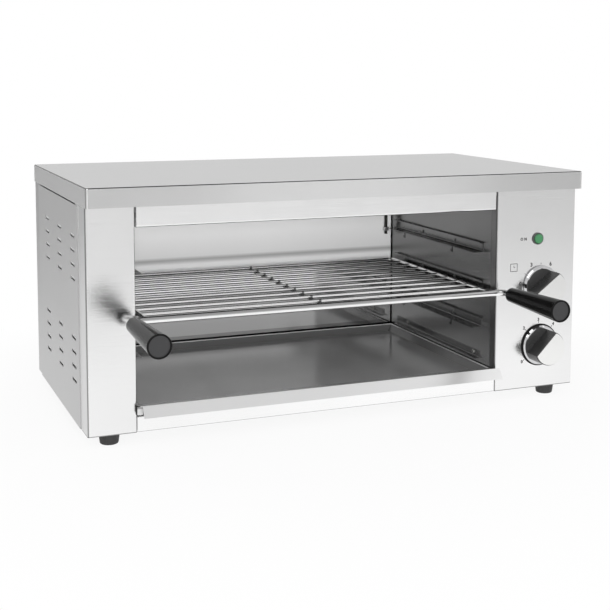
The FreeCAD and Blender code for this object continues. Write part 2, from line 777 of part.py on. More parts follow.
def rack_support(label, face, level, side):
    """A channel on the cavity's side wall: a ledge, a narrow lip above it and two hooks that
    hang from the ledge's edge."""
    piece = Piece(label)
    path = [(f"{face} + {side} * support_lip", f"{level} + support_height"),
            (face, f"{level} + support_height"), (face, level),
            (f"{face} + {side} * support_ledge", level)]
    piece.folded("XZ_Plane", path, "liner_sheet", "support_front", "support_length", side)
    tip = f"{face} + {side} * support_ledge"
    hook = piece.sketch("YZ_Plane", tip if side < 0 else tip + " - liner_sheet")
    front = "support_front + hook_setback"
    top, bottom = f"{level} + hook_overlap", f"{level} - hook_length"
    inner, foot = f"{front} + hook_stem", f"{bottom} + hook_stem"
    outer = f"{front} + hook_width"
    piece.polygon(hook, [(front, top), (front, bottom), (outer, bottom),
                         (outer, f"{bottom} + hook_tip"), (f"{outer} - hook_overlap", foot),
                         (inner, foot), (inner, top)])
    tab = piece.pad(hook, "liner_sheet")
    piece.repeat([tab], "Y", "hook_spacing", "2")


def tray_runner(label, face, side):
    """An angle that keeps the crumb tray down."""
    piece = Piece(label)
    path = [(face, "runner_level + runner_height"), (face, "runner_level"),
            (f"{face} + {side} * runner_ledge", "runner_level")]
    piece.folded("XZ_Plane", path, "liner_sheet", "front_face + runner_setback", "runner_length", side)
    start = face if side > 0 else face + " - liner_sheet"
    drill(piece, "YZ_Plane", start, RUNNER_SCREWS, "screw_radius + hole_clearance", "liner_sheet")


def heating_element(label, front):
    """A hairpin tube with its two ends through the cavity's right wall, and a pin in each end."""
    piece = Piece(label)
    back = f"{front} + element_span"
    path = u_path(piece, "element_level", "X", "element_ends", front, back,
                  "opening_left + element_left_gap", "element_bend")
    section = piece.sketch("YZ_Plane", "element_ends")
    piece.circle(section, front, "element_level", "element_diameter / 2")
    piece.pipe(section, path)
    pins = piece.sketch("YZ_Plane", "element_ends")
    for across in (front, back):
        piece.circle(pins, across, "element_level", "pin_radius")
    piece.pad(pins, "pin_length")


def element_glands():
    """A collar round each element leg, outside the cavity's right wall."""
    piece = Piece("element_glands")
    rings = piece.sketch("YZ_Plane", "opening_right + liner_sheet")
    for across, up in ELEMENT_LEGS:
        piece.circle(rings, across, up, "gland_radius")
        piece.circle(rings, across, up, "element_diameter / 2 + shaft_fit")
    piece.pad(rings, "gland_length")


def element_hanger(label, start):
    """A plate under the ceiling that the element legs pass through."""
    piece = Piece(label)
    plate = piece.sketch("YZ_Plane", start)
    piece.rectangle(plate, "element_front - gland_radius",
                    "element_front + element_spacing + element_span + gland_radius",
                    "element_level - gland_radius", "ceiling")
    piece.pad(plate, "hanger_thickness")
    drill(piece, "YZ_Plane", start, ELEMENT_LEGS, "element_diameter / 2 + hole_clearance",
          "hanger_thickness")


def thermostat_bulb():
    """The upright feeler in the cavity's rear corner, with its thin tube through the wall."""
    piece = Piece("thermostat_bulb")
    rod = piece.sketch("XY_Plane", "bulb_level")
    piece.circle(rod, "bulb_x", "bulb_y", "bulb_diameter / 2")
    piece.pad(rod, "bulb_length")
    tube = piece.sketch("YZ_Plane", "bulb_x")
    piece.circle(tube, "bulb_y", "bulb_level + bulb_length - capillary_drop", "capillary_radius")
    piece.pad(tube, "bulb_from_wall + element_tail")
    clips = Piece("bulb_clips")
    block = clips.sketch("XY_Plane", "bulb_level + clip_height")
    reach = "(bulb_diameter / 2 + clip_thickness)"
    clips.rectangle(block, f"bulb_x - {reach}", f"bulb_x + {reach}", f"bulb_y - {reach}", "cavity_back")
    clips.circle(block, "bulb_x", "bulb_y", "bulb_diameter / 2 + shaft_fit")
    clip = clips.pad(block, "clip_height")
    clips.repeat([clip], "Z", "clip_spacing", "2")


def switch_body(label, level):
    """A timer or thermostat housing behind the panel, with the bush that its shaft turns in."""
    piece = Piece(label)
    block = piece.sketch("XZ_Plane", "switch_front")
    half = "switch_width / 2"
    sides = (f"dial_x - {half}", f"dial_x + {half}", f"{level} - switch_height / 2",
             f"{level} + switch_height / 2")
    piece.rectangle(block, *sides)
    piece.pad(block, "switch_depth")
    piece.soften("switch_corner", piece.edges(1, [(x, z) for x in sides[:2] for z in sides[2:]]))
    bush = piece.sketch("XZ_Plane", "switch_front")
    piece.circle(bush, "dial_x", level, "bush_radius")
    piece.pad(bush, "outer_sheet + bush_stand", towards=-1)
    drill(piece, "XZ_Plane", "switch_front - outer_sheet - bush_stand", [("dial_x", level)],
          "shaft_radius + shaft_fit", "bush_length + shaft_grip_depth")


def dial(name, level, turn):
    """A dial on its shaft: a black core cut to a grip, a chrome skirt and a brushed cap."""
    shaft = Piece(name + "_shaft")
    rod = shaft.sketch("XZ_Plane", "dial_back - shaft_grip_depth")
    shaft.circle(rod, "dial_x", level, "shaft_radius")
    shaft.pad(rod, "shaft_grip_depth + dial_gap + bush_length + shaft_tail")

    core = Piece(name + "_dial_core")
    disc = core.sketch("XZ_Plane", "dial_back")
    core.circle(disc, "dial_x", level, "dial_radius")
    core.pad(disc, "dial_depth", towards=-1)
    flat = core.sketch("XZ_Plane", "front_face - dial_ledge", "dial_x", level, turn)
    beyond = "(dial_radius + dial_ledge)"
    core.rectangle(flat, "dial_flat", beyond, "-" + beyond, beyond)
    core.cut(flat, "dial_depth", towards=-1)
    core.soften("dial_edge_radius", core.rim(1, "dial_back - dial_depth"))
    drill(core, "XZ_Plane", "dial_back", [("dial_x", level)], "shaft_radius + shaft_fit",
          "shaft_grip_depth + dial_gap", towards=-1)

    skirt = Piece(name + "_dial_skirt")
    ring = skirt.sketch("YZ_Plane", "dial_x", up=level)
    front = "dial_back - skirt_height"
    inner = "dial_radius + skirt_fit"
    skirt.polygon(ring, [("dial_back", inner), ("dial_back", "skirt_radius"),
                         (front + " + skirt_bevel", "skirt_radius"),
                         (front, "skirt_radius - skirt_bevel"), (front, inner)])
    skirt.revolve(ring, "H")

    cap = Piece(name + "_dial_cap")
    plate = cap.sketch("XZ_Plane", "dial_back - dial_depth")
    cap.circle(plate, "dial_x", level, "dial_radius - dial_cap_inset")
    cap.pad(plate, "dial_cap_thickness", towards=-1)
    chord = cap.sketch("XZ_Plane", "dial_back - dial_depth", "dial_x", level, turn)
    cap.rectangle(chord, "dial_flat - dial_cap_inset", beyond, "-" + beyond, beyond)
    cap.cut(chord, "dial_cap_thickness", towards=-1)


def lower_bezel():
    """The black ring on the panel round the lower dial."""
    piece = Piece("lower_bezel_ring")
    ring = piece.sketch("XZ_Plane", "front_face")
    piece.circle(ring, "dial_x", "lower_dial_level", "bezel_radius")
    piece.circle(ring, "dial_x", "lower_dial_level", "bush_radius + hole_clearance")
    piece.pad(ring, "bezel_thickness", towards=-1)


def pilot_lamp():
    """The lamp's body through the panel, and its lens."""
    body = Piece("lamp_body")
    bezel = body.sketch("XZ_Plane", "front_face")
    body.circle(bezel, "lamp_x", "lamp_level", "lamp_bezel_radius")
    body.pad(bezel, "lamp_bezel_thickness", towards=-1)
    barrel = body.sketch("XZ_Plane", "front_face")
    body.circle(barrel, "lamp_x", "lamp_level", "lamp_barrel_radius")
    body.pad(barrel, "lamp_barrel_length")
    seat = "front_face - lamp_bezel_thickness"
    drill(body, "XZ_Plane", seat, [("lamp_x", "lamp_level")], "lens_radius + shaft_fit",
          "lens_seat_depth")
    lens = Piece("lamp_lens")
    disc = lens.sketch("XZ_Plane", seat + " + lens_seat_depth")
    lens.circle(disc, "lamp_x", "lamp_level", "lens_radius")
    lens.pad(disc, "lens_seat_depth + lens_rise", towards=-1)
    lens.soften("lens_rounding", lens.rim(1, seat + " - lens_rise"))


def mains_connection():
    """The bush that a mains cord passes through, and the terminal block it would end in."""
    bush = Piece("cable_inlet_bush")
    ring = bush.sketch("YZ_Plane", "inlet_x", up="inlet_level")
    inside = "rear_face - outer_sheet - inlet_tail"
    outside = "rear_face + inlet_head_thickness"
    bush.polygon(ring, [(inside, "inlet_bore_radius"), (inside, "inlet_body_radius"),
                        ("rear_face", "inlet_body_radius"), ("rear_face", "inlet_head_radius"),
                        (outside + " - skirt_bevel", "inlet_head_radius"),
                        (outside, "inlet_head_radius - skirt_bevel"), (outside, "inlet_bore_radius")])
    bush.revolve(ring, "H")
    block = Piece("terminal_block")
    base = block.sketch("XY_Plane", "pan_floor")
    front = f"{inside} - block_wall_gap - block_depth"
    block.rectangle(base, "inlet_x - block_width / 2", "inlet_x + block_width / 2", front,
                    front + " + block_depth")
    block.pad(base, "block_height")
    well = block.sketch("XY_Plane", "pan_floor + block_height")
    block.circle(well, "inlet_x", f"{front} + block_depth / 2 - terminal_pitch", "terminal_radius")
    hole = block.cut(well, "terminal_depth", towards=-1)
    block.repeat([hole], "Y", "2 * terminal_pitch", "3")


def feet():
    """Four rubber feet, each with a socket underneath for its screw."""
    names = ("front_left_foot", "front_right_foot", "rear_left_foot", "rear_right_foot")
    for label, (across, along) in zip(names, FOOT_SPOTS):
        piece = Piece(label, place=(across, along, "0"))
        half = piece.sketch("XZ_Plane")
        piece.polygon(half, [("foot_socket_radius", "0"), ("foot_sole_radius", "0"),
                             ("foot_top_radius", "foot_height"),
                             ("screw_radius + hole_clearance", "foot_height"),
                             ("screw_radius + hole_clearance", "foot_socket_depth"),
                             ("foot_socket_radius", "foot_socket_depth")])
        piece.revolve(half, "V")
        piece.soften("foot_rounding", piece.rim(2, "0", wider_than="foot_socket_radius"))


def screws(label, plane, seat, spots, towards, head, height, radius, length):
    """A group of like screws: heads that stand on a seat and shanks that go through it."""
    piece = Piece(label)
    heads = piece.sketch(plane, seat)
    for across, up in spots:
        piece.circle(heads, across, up, head)
    piece.pad(heads, height, towards=-towards)
    shanks = piece.sketch(plane, seat)
    for across, up in spots:
        piece.circle(shanks, across, up, radius)
    piece.pad(shanks, length, towards=towards)
    crown = f"{seat} - {towards} * {height}"
    piece.soften("head_bevel", piece.rim(PLANES[plane][0], crown), kind="Chamfer")


def fasteners():
    """The screws, like ones together."""
    screws("back_panel_screws", "XZ_Plane", "rear_face", BACK_SCREWS, -1, "screw_head_radius",
           "screw_head_height", "screw_radius", "screw_length")
    screws("lid_screws", "XZ_Plane", "back_face", LID_SCREWS, -1, "screw_head_radius",
           "screw_head_height", "screw_radius", "screw_length")
    screws("foot_screws", "XY_Plane", "foot_socket_depth", FOOT_SPOTS, 1, "screw_head_radius",
           "screw_head_height", "screw_radius", "pan_floor - foot_socket_depth + foot_screw_grip")
    for name, face, side in (("left", "opening_left", 1), ("right", "opening_right", -1)):
        screws(name + "_runner_screws", "YZ_Plane", f"{face} + {side} * liner_sheet", RUNNER_SCREWS,
               -side, "small_head_radius", "small_head_height", "screw_radius", "screw_length")


def rack():
    """The pull-out rack: a front rod bent forward into two shanks, and a grid of wires."""
    rod = Piece("rack_front_rod")
    ends = "grip_back - grip_bore_depth + shaft_fit"
    path = u_path(rod, "rod_level", "Y", ends, "left_shank", "right_shank", "rod_front", "rod_bend")
    section = rod.sketch("XZ_Plane", ends)
    rod.circle(section, "left_shank", "rod_level", "rod_radius")
    rod.pipe(section, path)

    grid = Piece("rack_grid")
    start = "rod_front + rod_radius"
    frame = u_path(grid, "wire_level", "Y", start, "frame_wire_left", "frame_wire_right",
                   "rack_back", "frame_wire_bend")
    wire = grid.sketch("XZ_Plane", start)
    grid.circle(wire, "frame_wire_left", "wire_level", "frame_wire_radius")
    grid.pipe(wire, frame)
    spine = grid.sketch("XZ_Plane", start)
    grid.circle(spine, "opening_middle", "wire_level - spine_drop", "wire_radius")
    grid.pad(spine, "rack_back - rod_front - rod_radius")
    bar = grid.sketch("YZ_Plane", "frame_wire_left")
    pitch = "rack_depth / rack_bars"
    grid.circle(bar, f"rod_front + {pitch}", "wire_level", "wire_radius")
    first = grid.pad(bar, "frame_wire_right - frame_wire_left")
    grid.repeat([first], "Y", f"(rack_bars - 2) * {pitch}", "rack_bars - 1")


def grips():
    """Two tapered grips on the rod's shanks, each closed by a disc set into its end."""
    for name in ("left", "right"):
        shank = name + "_shank"
        grip = Piece(name + "_grip")
        half = grip.sketch("YZ_Plane", shank, up="rod_level")
        bore = "rod_radius + shaft_fit"
        bottom = "grip_front + grip_recess_depth"
        grip.polygon(half, [("grip_back", bore), ("grip_back", "grip_back_radius - grip_shoulder"),
                            ("grip_back - grip_chamfer", "grip_back_radius"),
                            ("grip_front", "grip_front_radius"), ("grip_front", "grip_recess_radius"),
                            (bottom, "grip_recess_radius"), (bottom, "0"),
                            ("grip_back - grip_bore_depth", "0"),
                            ("grip_back - grip_bore_depth", bore)])
        grip.revolve(half, "H")
        grip.soften("grip_front_rounding", grip.rim(1, "grip_front", wider_than="grip_recess_radius"))
        disc = Piece(name + "_grip_disc")
        face = disc.sketch("XZ_Plane", bottom)
        disc.circle(face, shank, "rod_level", "grip_recess_radius - shaft_fit")
        disc.pad(face, "grip_disc_thickness", towards=-1)


def crumb_tray():
    """The tray: a tub with sloping sides, and an apron that rises from its floor to a lip in
    front of the cabinet."""
    piece = Piece("crumb_tray")
    floor = "tray_bottom + tray_sheet"
    lip_foot = "tray_lip_front - tray_lip_slant"
    lip_back = ("tray_lip_front + tray_sheet / 2", "tray_lip_top - tray_lip_skin")

    skin = "tray_side_skin"
    steep = "-atan(tray_side_slope / (tray_wall + tray_sheet))"
    tub = piece.sketch("XY_Plane", "tray_wall_top")
    piece.rectangle(tub, "tray_left", "tray_right", "tray_tub_front", "tray_back")
    piece.pad(tub, "tray_wall + tray_sheet", towards=-1, taper=steep)
    hollow = piece.sketch("XY_Plane", "tray_wall_top")
    piece.rectangle(hollow, f"tray_left + {skin}", f"tray_right - {skin}", "tray_tub_front",
                    f"tray_back - {skin}")
    piece.cut(hollow, "tray_wall", towards=-1, taper=steep)
    under = piece.sketch("YZ_Plane", "tray_left")
    piece.polygon(under, [("tray_apron_back", "tray_bottom - tray_sheet"),
                          ("tray_apron_back", "tray_bottom"), ("tray_tub_front", "tray_wall_top"),
                          ("tray_tub_front", "tray_bottom - tray_sheet")])
    piece.cut(under, "tray_right - tray_left")

    apron = piece.sketch("YZ_Plane", "tray_left")
    piece.polygon(apron, [("tray_apron_back", floor), ("tray_lip_front", "tray_lip_top"), lip_back,
                          ("tray_apron_back", "tray_bottom")])
    piece.pad(apron, "tray_right - tray_left")
    lip = piece.sketch("YZ_Plane", "tray_left + tray_lip_end_inset")
    piece.polygon(lip, [("tray_lip_front", "tray_lip_top"), (lip_foot, "tray_lip_bottom"),
                        (lip_foot + " + tray_sheet", "tray_lip_bottom"), lip_back])
    piece.pad(lip, "tray_right - tray_left - tray_lip_end_inset + tray_lip_end_lap")
    tab = piece.sketch("XZ_Plane", "tray_lip_front + tray_tab_setback")
    piece.rectangle(tab, "tray_left - tray_tab_reach", "tray_left + tray_lip_end_inset + tray_sheet",
                    "tray_bottom + tray_tab_rise", "tray_lip_top - tray_tab_drop")
    piece.pad(tab, "tray_sheet")
    for start in ("tray_left", "tray_right - tray_sheet"):
        cheek = piece.sketch("YZ_Plane", start)
        piece.polygon(cheek, [("tray_apron_back", "tray_bottom"), ("tray_cheek_front", "tray_bottom"),
                              ("tray_cheek_front", "tray_cheek_top")])
        piece.pad(cheek, "tray_sheet")


# Spots that two or more sub-parts share
FOOT_SPOTS = [(x, y) for y in ("lid_front + foot_front_inset", "back_face - foot_rear_inset")
              for x in ("-(cabinet_width / 2 - foot_inset)", "cabinet_width / 2 - foot_inset")]
CORNER_SCREWS = ("-(side_face - corner_screw_inset)", "side_face - corner_screw_inset")
BACK_SCREWS = [(x, "body_bottom + back_screw_inset")
               for x in CORNER_SCREWS + ("-inner_screw_across", "inner_screw_across")]
LID_SCREWS = [(x, "(lid_bottom + shell_top) / 2") for x in CORNER_SCREWS + ("0",)]
RUNNER_SCREWS = [(y, "runner_level + liner_sheet + runner_height / 2")
                 for y in ("front_face + runner_setback + runner_screw_setback",
                           "front_face + runner_setback + runner_screw_setback + runner_screw_spacing")]
ELEMENT_LEGS = [(f"element_front + {hairpin} * element_spacing + {leg} * element_span",
                 "element_level") for hairpin in (0, 1) for leg in (0, 1)]


def build():
    """Every sub-part, from the base up."""
    base_pan()
    feet()
    front_bottom_rail()
    left_front_column()
    control_panel()
    front_beam()
    back_panel()
    side_panel("left_side_panel", "-cabinet_width / 2", 1)
    side_panel("right_side_panel", "cabinet_width / 2", -1)
    top_cover()
    cavity_walls()
    cavity_floor()
    cavity_ceiling()
    for name, face, side in (("left", "opening_left", 1), ("right", "opening_right", -1)):
        rack_support(name + "_upper_support", face, "upper_support_level", side)
        rack_support(name + "_middle_support", face, "middle_support_level", side)
        rack_support(name + "_lower_support", face, "lower_support_level", side)
        tray_runner(name + "_tray_runner", face, side)
    heating_element("front_heating_element", "element_front")
    heating_element("rear_heating_element", "element_front + element_spacing")
    element_glands()
    element_hanger("left_element_hanger", "opening_left + hanger_inset")
    element_hanger("right_element_hanger", "opening_right - hanger_inset")
    thermostat_bulb()
    switch_body("timer_body", "upper_dial_level")
    switch_body("thermostat_body", "lower_dial_level")
    dial("timer", "upper_dial_level", "upper_dial_turn")
    dial("thermostat", "lower_dial_level", "lower_dial_turn")
    lower_bezel()
    pilot_lamp()
    mains_connection()
    fasteners()
    rack()
    grips()
    crumb_tray()


def write_parts():
    """Check every object, then write one file for each sub-part."""
    DOC.recompute()
    for item in DOC.Objects:
        if "Invalid" in item.State or "Error" in item.State:
            raise RuntimeError(f"{item.Label} did not build: {item.State}")
    bodies = [item for item in DOC.Objects if item.TypeId == "PartDesign::Body"]
    for item in bodies:
        if item.Shape.isNull() or not item.Shape.isValid() or not item.Shape.Solids:
            raise RuntimeError(f"{item.Label} has no valid solid")
    os.makedirs("parts", exist_ok=True)
    for item in bodies:
        item.Shape.exportStep(f"parts/{item.Label}.step")
    print(len(bodies), "sub-parts")


build()
write_parts()
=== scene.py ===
"""Looks for the salamander grill: finishes for every sheet, wire and moulding, with painted shade
and highlights, the printed marks round the dials, weld beads, rivets, painted shade for the screw
recesses, and a plain studio to show it in."""
import math

import bmesh
import bpy
from bpy.props import FloatProperty, FloatVectorProperty, PointerProperty
from bpy.types import Operator, Panel, PropertyGroup
from mathutils import Matrix, Vector


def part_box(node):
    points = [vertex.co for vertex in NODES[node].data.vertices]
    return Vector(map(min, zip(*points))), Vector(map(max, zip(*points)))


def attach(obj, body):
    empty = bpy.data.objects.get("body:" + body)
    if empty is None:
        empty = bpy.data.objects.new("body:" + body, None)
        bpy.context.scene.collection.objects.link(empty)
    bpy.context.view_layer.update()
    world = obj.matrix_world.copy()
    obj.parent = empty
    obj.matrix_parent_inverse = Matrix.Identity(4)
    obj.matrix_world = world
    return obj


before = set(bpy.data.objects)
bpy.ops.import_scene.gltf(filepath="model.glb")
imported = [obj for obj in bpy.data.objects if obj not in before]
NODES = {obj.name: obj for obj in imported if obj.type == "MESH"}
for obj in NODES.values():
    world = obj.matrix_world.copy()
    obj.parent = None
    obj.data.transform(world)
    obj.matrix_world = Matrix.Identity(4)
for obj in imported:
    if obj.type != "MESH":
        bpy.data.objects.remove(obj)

bl_info = {
    "name": "Salamander Grill",
    "version": (1, 0, 0),
    "blender": (4, 5, 0),
    "location": "3D View > Sidebar > Grill",
    "description": "Dresses a countertop salamander grill and its studio",
    "category": "Object",
}

MM = 0.001
TRAY_LIP = 3.1 * MM
FRONTWARDS = Vector((0, -1, 0))
WHITE = (1.0, 1.0, 1.0, 1.0)


def tray_rim():
    """The level of the crumb tray's rim, which its front lip stands over."""
    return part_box("crumb_tray")[1].z - TRAY_LIP


def colour(label, default, about):
    """A colour that a user can change."""
    return FloatVectorProperty(name=label, description=about, subtype="COLOR", size=3, min=0.0,
                               max=1.0, default=default)


def length(label, default, about):
    """A length that a user can change, in metres."""
    return FloatProperty(name=label, description=about, default=default, unit="LENGTH", min=0.0)


def share(label, default, about, top=1.0):
    """A plain number that a user can change."""
    return FloatProperty(name=label, description=about, default=default, min=0.0, max=top)


class GrillColours(PropertyGroup):
    """Colours of the grill's finishes."""
    lid: colour("Lid", (0.80, 0.80, 0.80), "Brushed sheet of the lid")
    front: colour("Front", (0.88, 0.88, 0.88), "Brushed sheet of the column and the panel")
    beam: colour("Beam", (0.96, 0.96, 0.96), "Brushed sheet over and under the opening")
    # Partly painted shade: the same steel as the front, darker partly for its grain running
    # another way and partly to stand in for the dimmer light on the sides.
    sides: colour("Sides", (0.58, 0.58, 0.58), "Brushed sheet of the sides, back and base")
    back_wall: colour("Back wall", (0.95, 0.95, 0.95), "Satin sheet at the back of the cavity")
    low_wall: colour("Low back wall", (0.92, 0.92, 0.92), "Polished foot of the cavity's back")
    # Painted shade: the same liner steel as the back wall, darkened to stand in for the shade on
    # the cavity's sides.
    side_walls: colour("Side walls", (0.25, 0.25, 0.25), "Satin sheet at the cavity's sides")
    supports: colour("Supports", (0.24, 0.24, 0.24), "Rack supports and tray runners")
    rivets: colour("Rivets", (0.20, 0.20, 0.20), "Rivet heads on the supports")
    ceiling: colour("Ceiling", (0.50, 0.50, 0.50), "Heat-stained sheet over the elements")
    tray: colour("Tray", (0.43, 0.43, 0.43), "Polished inside of the crumb tray")
    # This colour is also the painted highlight along the tub's rim.
    tray_lip: colour("Tray lip", (0.73, 0.73, 0.73), "Brushed lip and rim of the crumb tray")
    # Painted shade: this dark colour is laid on the steel where shade or dark reflections fall,
    # at folds, corners, gaps, undersides and bands in the cavity.
    stain: colour("Stain", (0.09, 0.09, 0.09), "Dark film of heat and fat on the steel")
    wire: colour("Wire", (0.92, 0.92, 0.92), "Bright plated wire of the rack")
    chrome: colour("Chrome", (0.66, 0.66, 0.67), "Polished plating of the dials' skirts")
    cap: colour("Dial cap", (0.88, 0.88, 0.87), "Brushed metal face of the dials")
    element: colour("Element", (0.06, 0.055, 0.05), "Sheath of the heating elements")
    plain: colour("Plain steel", (0.55, 0.55, 0.55), "Hangers, clips, glands and shafts")
    bulb: colour("Bulb", (0.07, 0.068, 0.065), "Thermostat bulb and its thin tube")
    plastic: colour("Black moulding", (0.004, 0.004, 0.004), "Grips and the bezel ring")
    dial: colour("Dial", (0.023, 0.023, 0.023), "Cores of the dials")
    disc: colour("Grip disc", (0.09, 0.09, 0.092), "Disc in the end of each grip")
    rubber: colour("Rubber", (0.015, 0.015, 0.015), "Feet and the inlet's bush")
    housing: colour("Housing", (0.05, 0.05, 0.05), "Switch housings behind the panel")
    lens: colour("Lens", (0.008, 0.105, 0.03), "Green lens of the pilot lamp")
    print_ink: colour("Print", (0.012, 0.012, 0.012), "Numbers, ticks and signs on the panel")
    screws: colour("Screws", (0.60, 0.60, 0.58), "Plated screws")
    recess: colour("Recess", (0.02, 0.02, 0.02), "Shadow in the screw heads' cross recess")


class GrillSizes(PropertyGroup):
    """Sizes of the small pieces that the looks add."""
    digit: length("Digit height", 0.0046, "Height of the numbers round the dials")
    stroke: length("Stroke", 0.00028, "How much the numbers are thickened")
    print_rise: length("Print rise", 0.00005, "How far the print stands off the panel")
    tick_length: length("Tick length", 0.0022, "Length of the ticks round the dials")
    tick_width: length("Tick width", 0.0007, "Width of the ticks and of the clock sign's lines")
    weld: length("Weld bead", 0.0026, "Radius of the weld beads on the rack")
    rivet: length("Rivet head", 0.0024, "Radius of the rivet heads on the supports")
    recess: length("Recess", 0.0019, "Half span of the screw heads' cross recess")


class GrillStudio(PropertyGroup):
    """The floor, lamps and camera."""
    floor: colour("Floor", (0.69, 0.69, 0.69), "Colour of the studio floor")
    near_glow: share("Near glow", 0.88, "How white the floor looks beside the grill")
    card: share("Card", 0.9, "How white the pale card on the floor in front looks to metal")
    world: share("World", 0.68, "Strength of the light from all round", 4.0)
    horizon: share("Horizon", 0.82, "How bright metal shows the dome at the horizon")
    overhead: share("Overhead", 0.72, "How bright metal shows the dome overhead")
    key: share("Key lamp", 14.0, "Power of the large lamp over the front left, in watts", 400.0)
    fill: share("Fill lamp", 5.0, "Power of the large lamp on the right, in watts", 400.0)
    front: share("Front lamp", 66.0, "Power of the low lamp before the opening, in watts", 400.0)


class Signal:
    """One socket's value in a node tree, worked on like a number."""

    def __init__(self, recipe, socket):
        self.recipe = recipe
        self.socket = socket

    def __add__(self, other):
        return self.recipe.number("ADD", self, other)

    def __sub__(self, other):
        return self.recipe.number("SUBTRACT", self, other)

    def __rsub__(self, other):
        return self.recipe.number("SUBTRACT", other, self)

    def __mul__(self, other):
        return self.recipe.number("MULTIPLY", self, other)

    def __gt__(self, other):
        return self.recipe.number("GREATER_THAN", self, other)

    def __lt__(self, other):
        return self.recipe.number("LESS_THAN", self, other)

    def __abs__(self):
        return self.recipe.number("ABSOLUTE", self)

    __radd__ = __add__


class Recipe:
    """A node tree under construction."""

    def __init__(self, tree):
        self.tree = tree
        tree.nodes.clear()

    def add(self, kind, settings=None, sockets=None):
        """A node of a kind, first its settings, then its sockets' values or links."""
        node = self.tree.nodes.new(kind)
        for name, setting in (settings or {}).items():
            if name == "stops":
                self.set_stops(node.color_ramp, setting)
            else:
                setattr(node, name, setting)
        for name, content in (sockets or {}).items():
            socket = self.find(node.inputs, name)
            if isinstance(content, Signal):
                self.tree.links.new(content.socket, socket)
            else:
                socket.default_value = content
        return node

    @staticmethod
    def find(sockets, name):
        """A socket by its identifier, or else by its name."""
        for socket in sockets:
            if socket.identifier == name:
                return socket
        return sockets[name]

    @staticmethod
    def set_stops(ramp, stops):
        """A ramp's stops, each a place and a grey level."""
        while len(ramp.elements) < len(stops):
            ramp.elements.new(0.5)
        for element, (place, level) in zip(ramp.elements, stops):
            element.position = place
            element.color = (level, level, level, 1.0)

    def value(self, kind, output, settings=None, sockets=None):
        """One output of a new node."""
        return Signal(self, self.find(self.add(kind, settings, sockets).outputs, output))

    def number(self, operation, *terms):
        """A Math node."""
        return self.value("ShaderNodeMath", "Value", {"operation": operation},
                          dict(zip(("Value", "Value_001"), terms)))

    def vector(self, operation, first, second):
        """A Vector Math node."""
        return self.value("ShaderNodeVectorMath", "Vector", {"operation": operation},
                          {"Vector": first, "Vector_001": second})

    def blend(self, factor, first, second):
        """Two colours mixed."""
        pair = [item if isinstance(item, Signal) else (*item, 1.0) for item in (first, second)]
        return self.value("ShaderNodeMix", "Result_Color", {"data_type": "RGBA"},
                          {"Factor_Float": factor, "A_Color": pair[0], "B_Color": pair[1]})

    def place(self):
        """A point's place on the object, in metres."""
        return self.value("ShaderNodeTexCoord", "Object")

    def parts(self, vector):
        """The three numbers of a vector."""
        node = self.add("ShaderNodeSeparateXYZ", sockets={"Vector": vector})
        return [Signal(self, output) for output in node.outputs]

    def spot(self):
        """A point's place as three numbers."""
        return self.parts(self.place())

    def diagonal(self, first, second):
        """The diagonal over two numbers at a right angle."""
        return self.number("SQRT", first * first + second * second)

    def from_axis(self, centre):
        """How far a point is from an axis that looks along Y."""
        across, _, up = self.parts(self.vector("SUBTRACT", self.place(), centre))
        return self.diagonal(across, up)

    def facing(self):
        """The three numbers of the surface's own direction."""
        return self.parts(self.value("ShaderNodeNewGeometry", "Normal"))

    def noise(self, vector, scale, detail=2.0, roughness=0.5):
        """Fractal noise from 0 to 1."""
        return self.value("ShaderNodeTexNoise", "Fac", None,
                          {"Vector": vector, "Scale": scale, "Detail": detail,
                           "Roughness": roughness})

    def ramp(self, factor, stops):
        """A smooth step between grey levels."""
        return self.value("ShaderNodeValToRGB", "Color", {"stops": stops}, {"Fac": factor})

    def fade(self, distance, stretch, stops):
        """A ramp over a distance in metres, stretched first so that the step stays fine."""
        return self.ramp(distance * stretch, stops)

    def bump(self, height, depth):
        """A surface direction from a height map whose full range is a depth in metres."""
        return self.value("ShaderNodeBump", "Normal", None, {"Height": height, "Distance": depth})

    def finish(self, **sockets):
        """The Principled shader on the output, with its sockets by plain names."""
        named = {name.replace("_", " ").title().replace("Ior", "IOR"): content
                 for name, content in sockets.items()}
        shader = self.value("ShaderNodeBsdfPrincipled", "BSDF", None, named)
        self.add("ShaderNodeOutputMaterial", None, {"Surface": shader})


def new_material(name):
    """An empty material and its recipe."""
    material = bpy.data.materials.new(name)
    material.use_nodes = True
    return material, Recipe(material.node_tree)


GRAIN_ALONG = 11.0
GRAIN_ACROSS = 2400.0
# A face looks squarely along an axis when more than this of its direction lies that way.
SQUARELY = 0.7
BRUSHED_EDGE = (0.85, 0.85, 0.85, 1.0)
POLISHED_SPREAD = 0.05
DEEP = 0.5
RING_GRAIN = 2600.0
RIB_GRAIN = 5200.0


def scaled(tint, factor):
    """A colour made darker or lighter."""
    return tuple(min(1.0, part * factor) for part in tint)


def shades(tint, spread):
    """A darker and a lighter shade of a colour."""
    return scaled(tint, 1 - spread), scaled(tint, 1 + spread)


def swing(noise, amount):
    """Noise as a move to either side, by half an amount at most."""
    return (noise - 0.5) * amount


def grain(recipe, along, along_on_sides):
    """Fine brushing lines along one axis, and along another on faces that look along X."""
    def stretched(axis):
        scales = [GRAIN_ALONG if axis == name else GRAIN_ACROSS for name in "XYZ"]
        return recipe.noise(recipe.vector("MULTIPLY", recipe.place(), scales), scale=1.0,
                            roughness=0.6)

    main = stretched(along)
    if along_on_sides == along:
        return main
    turned = abs(recipe.facing()[0]) > SQUARELY
    return main + turned * (stretched(along_on_sides) - main)


def marked(recipe, marks, shade, roughness, metallic):
    """Marks laid over a finish. marks gives a mask and a colour for each, and where a mark has
    its own gloss also a roughness and a metallic."""
    for mask, patch, *gloss in (marks(recipe) if marks else ()):
        shade = recipe.blend(mask, shade, patch)
        if gloss:
            roughness = roughness + mask * (gloss[0] - roughness)
            metallic = metallic + mask * (gloss[1] - metallic)
    return {"base_color": shade, "roughness": roughness, "metallic": metallic}


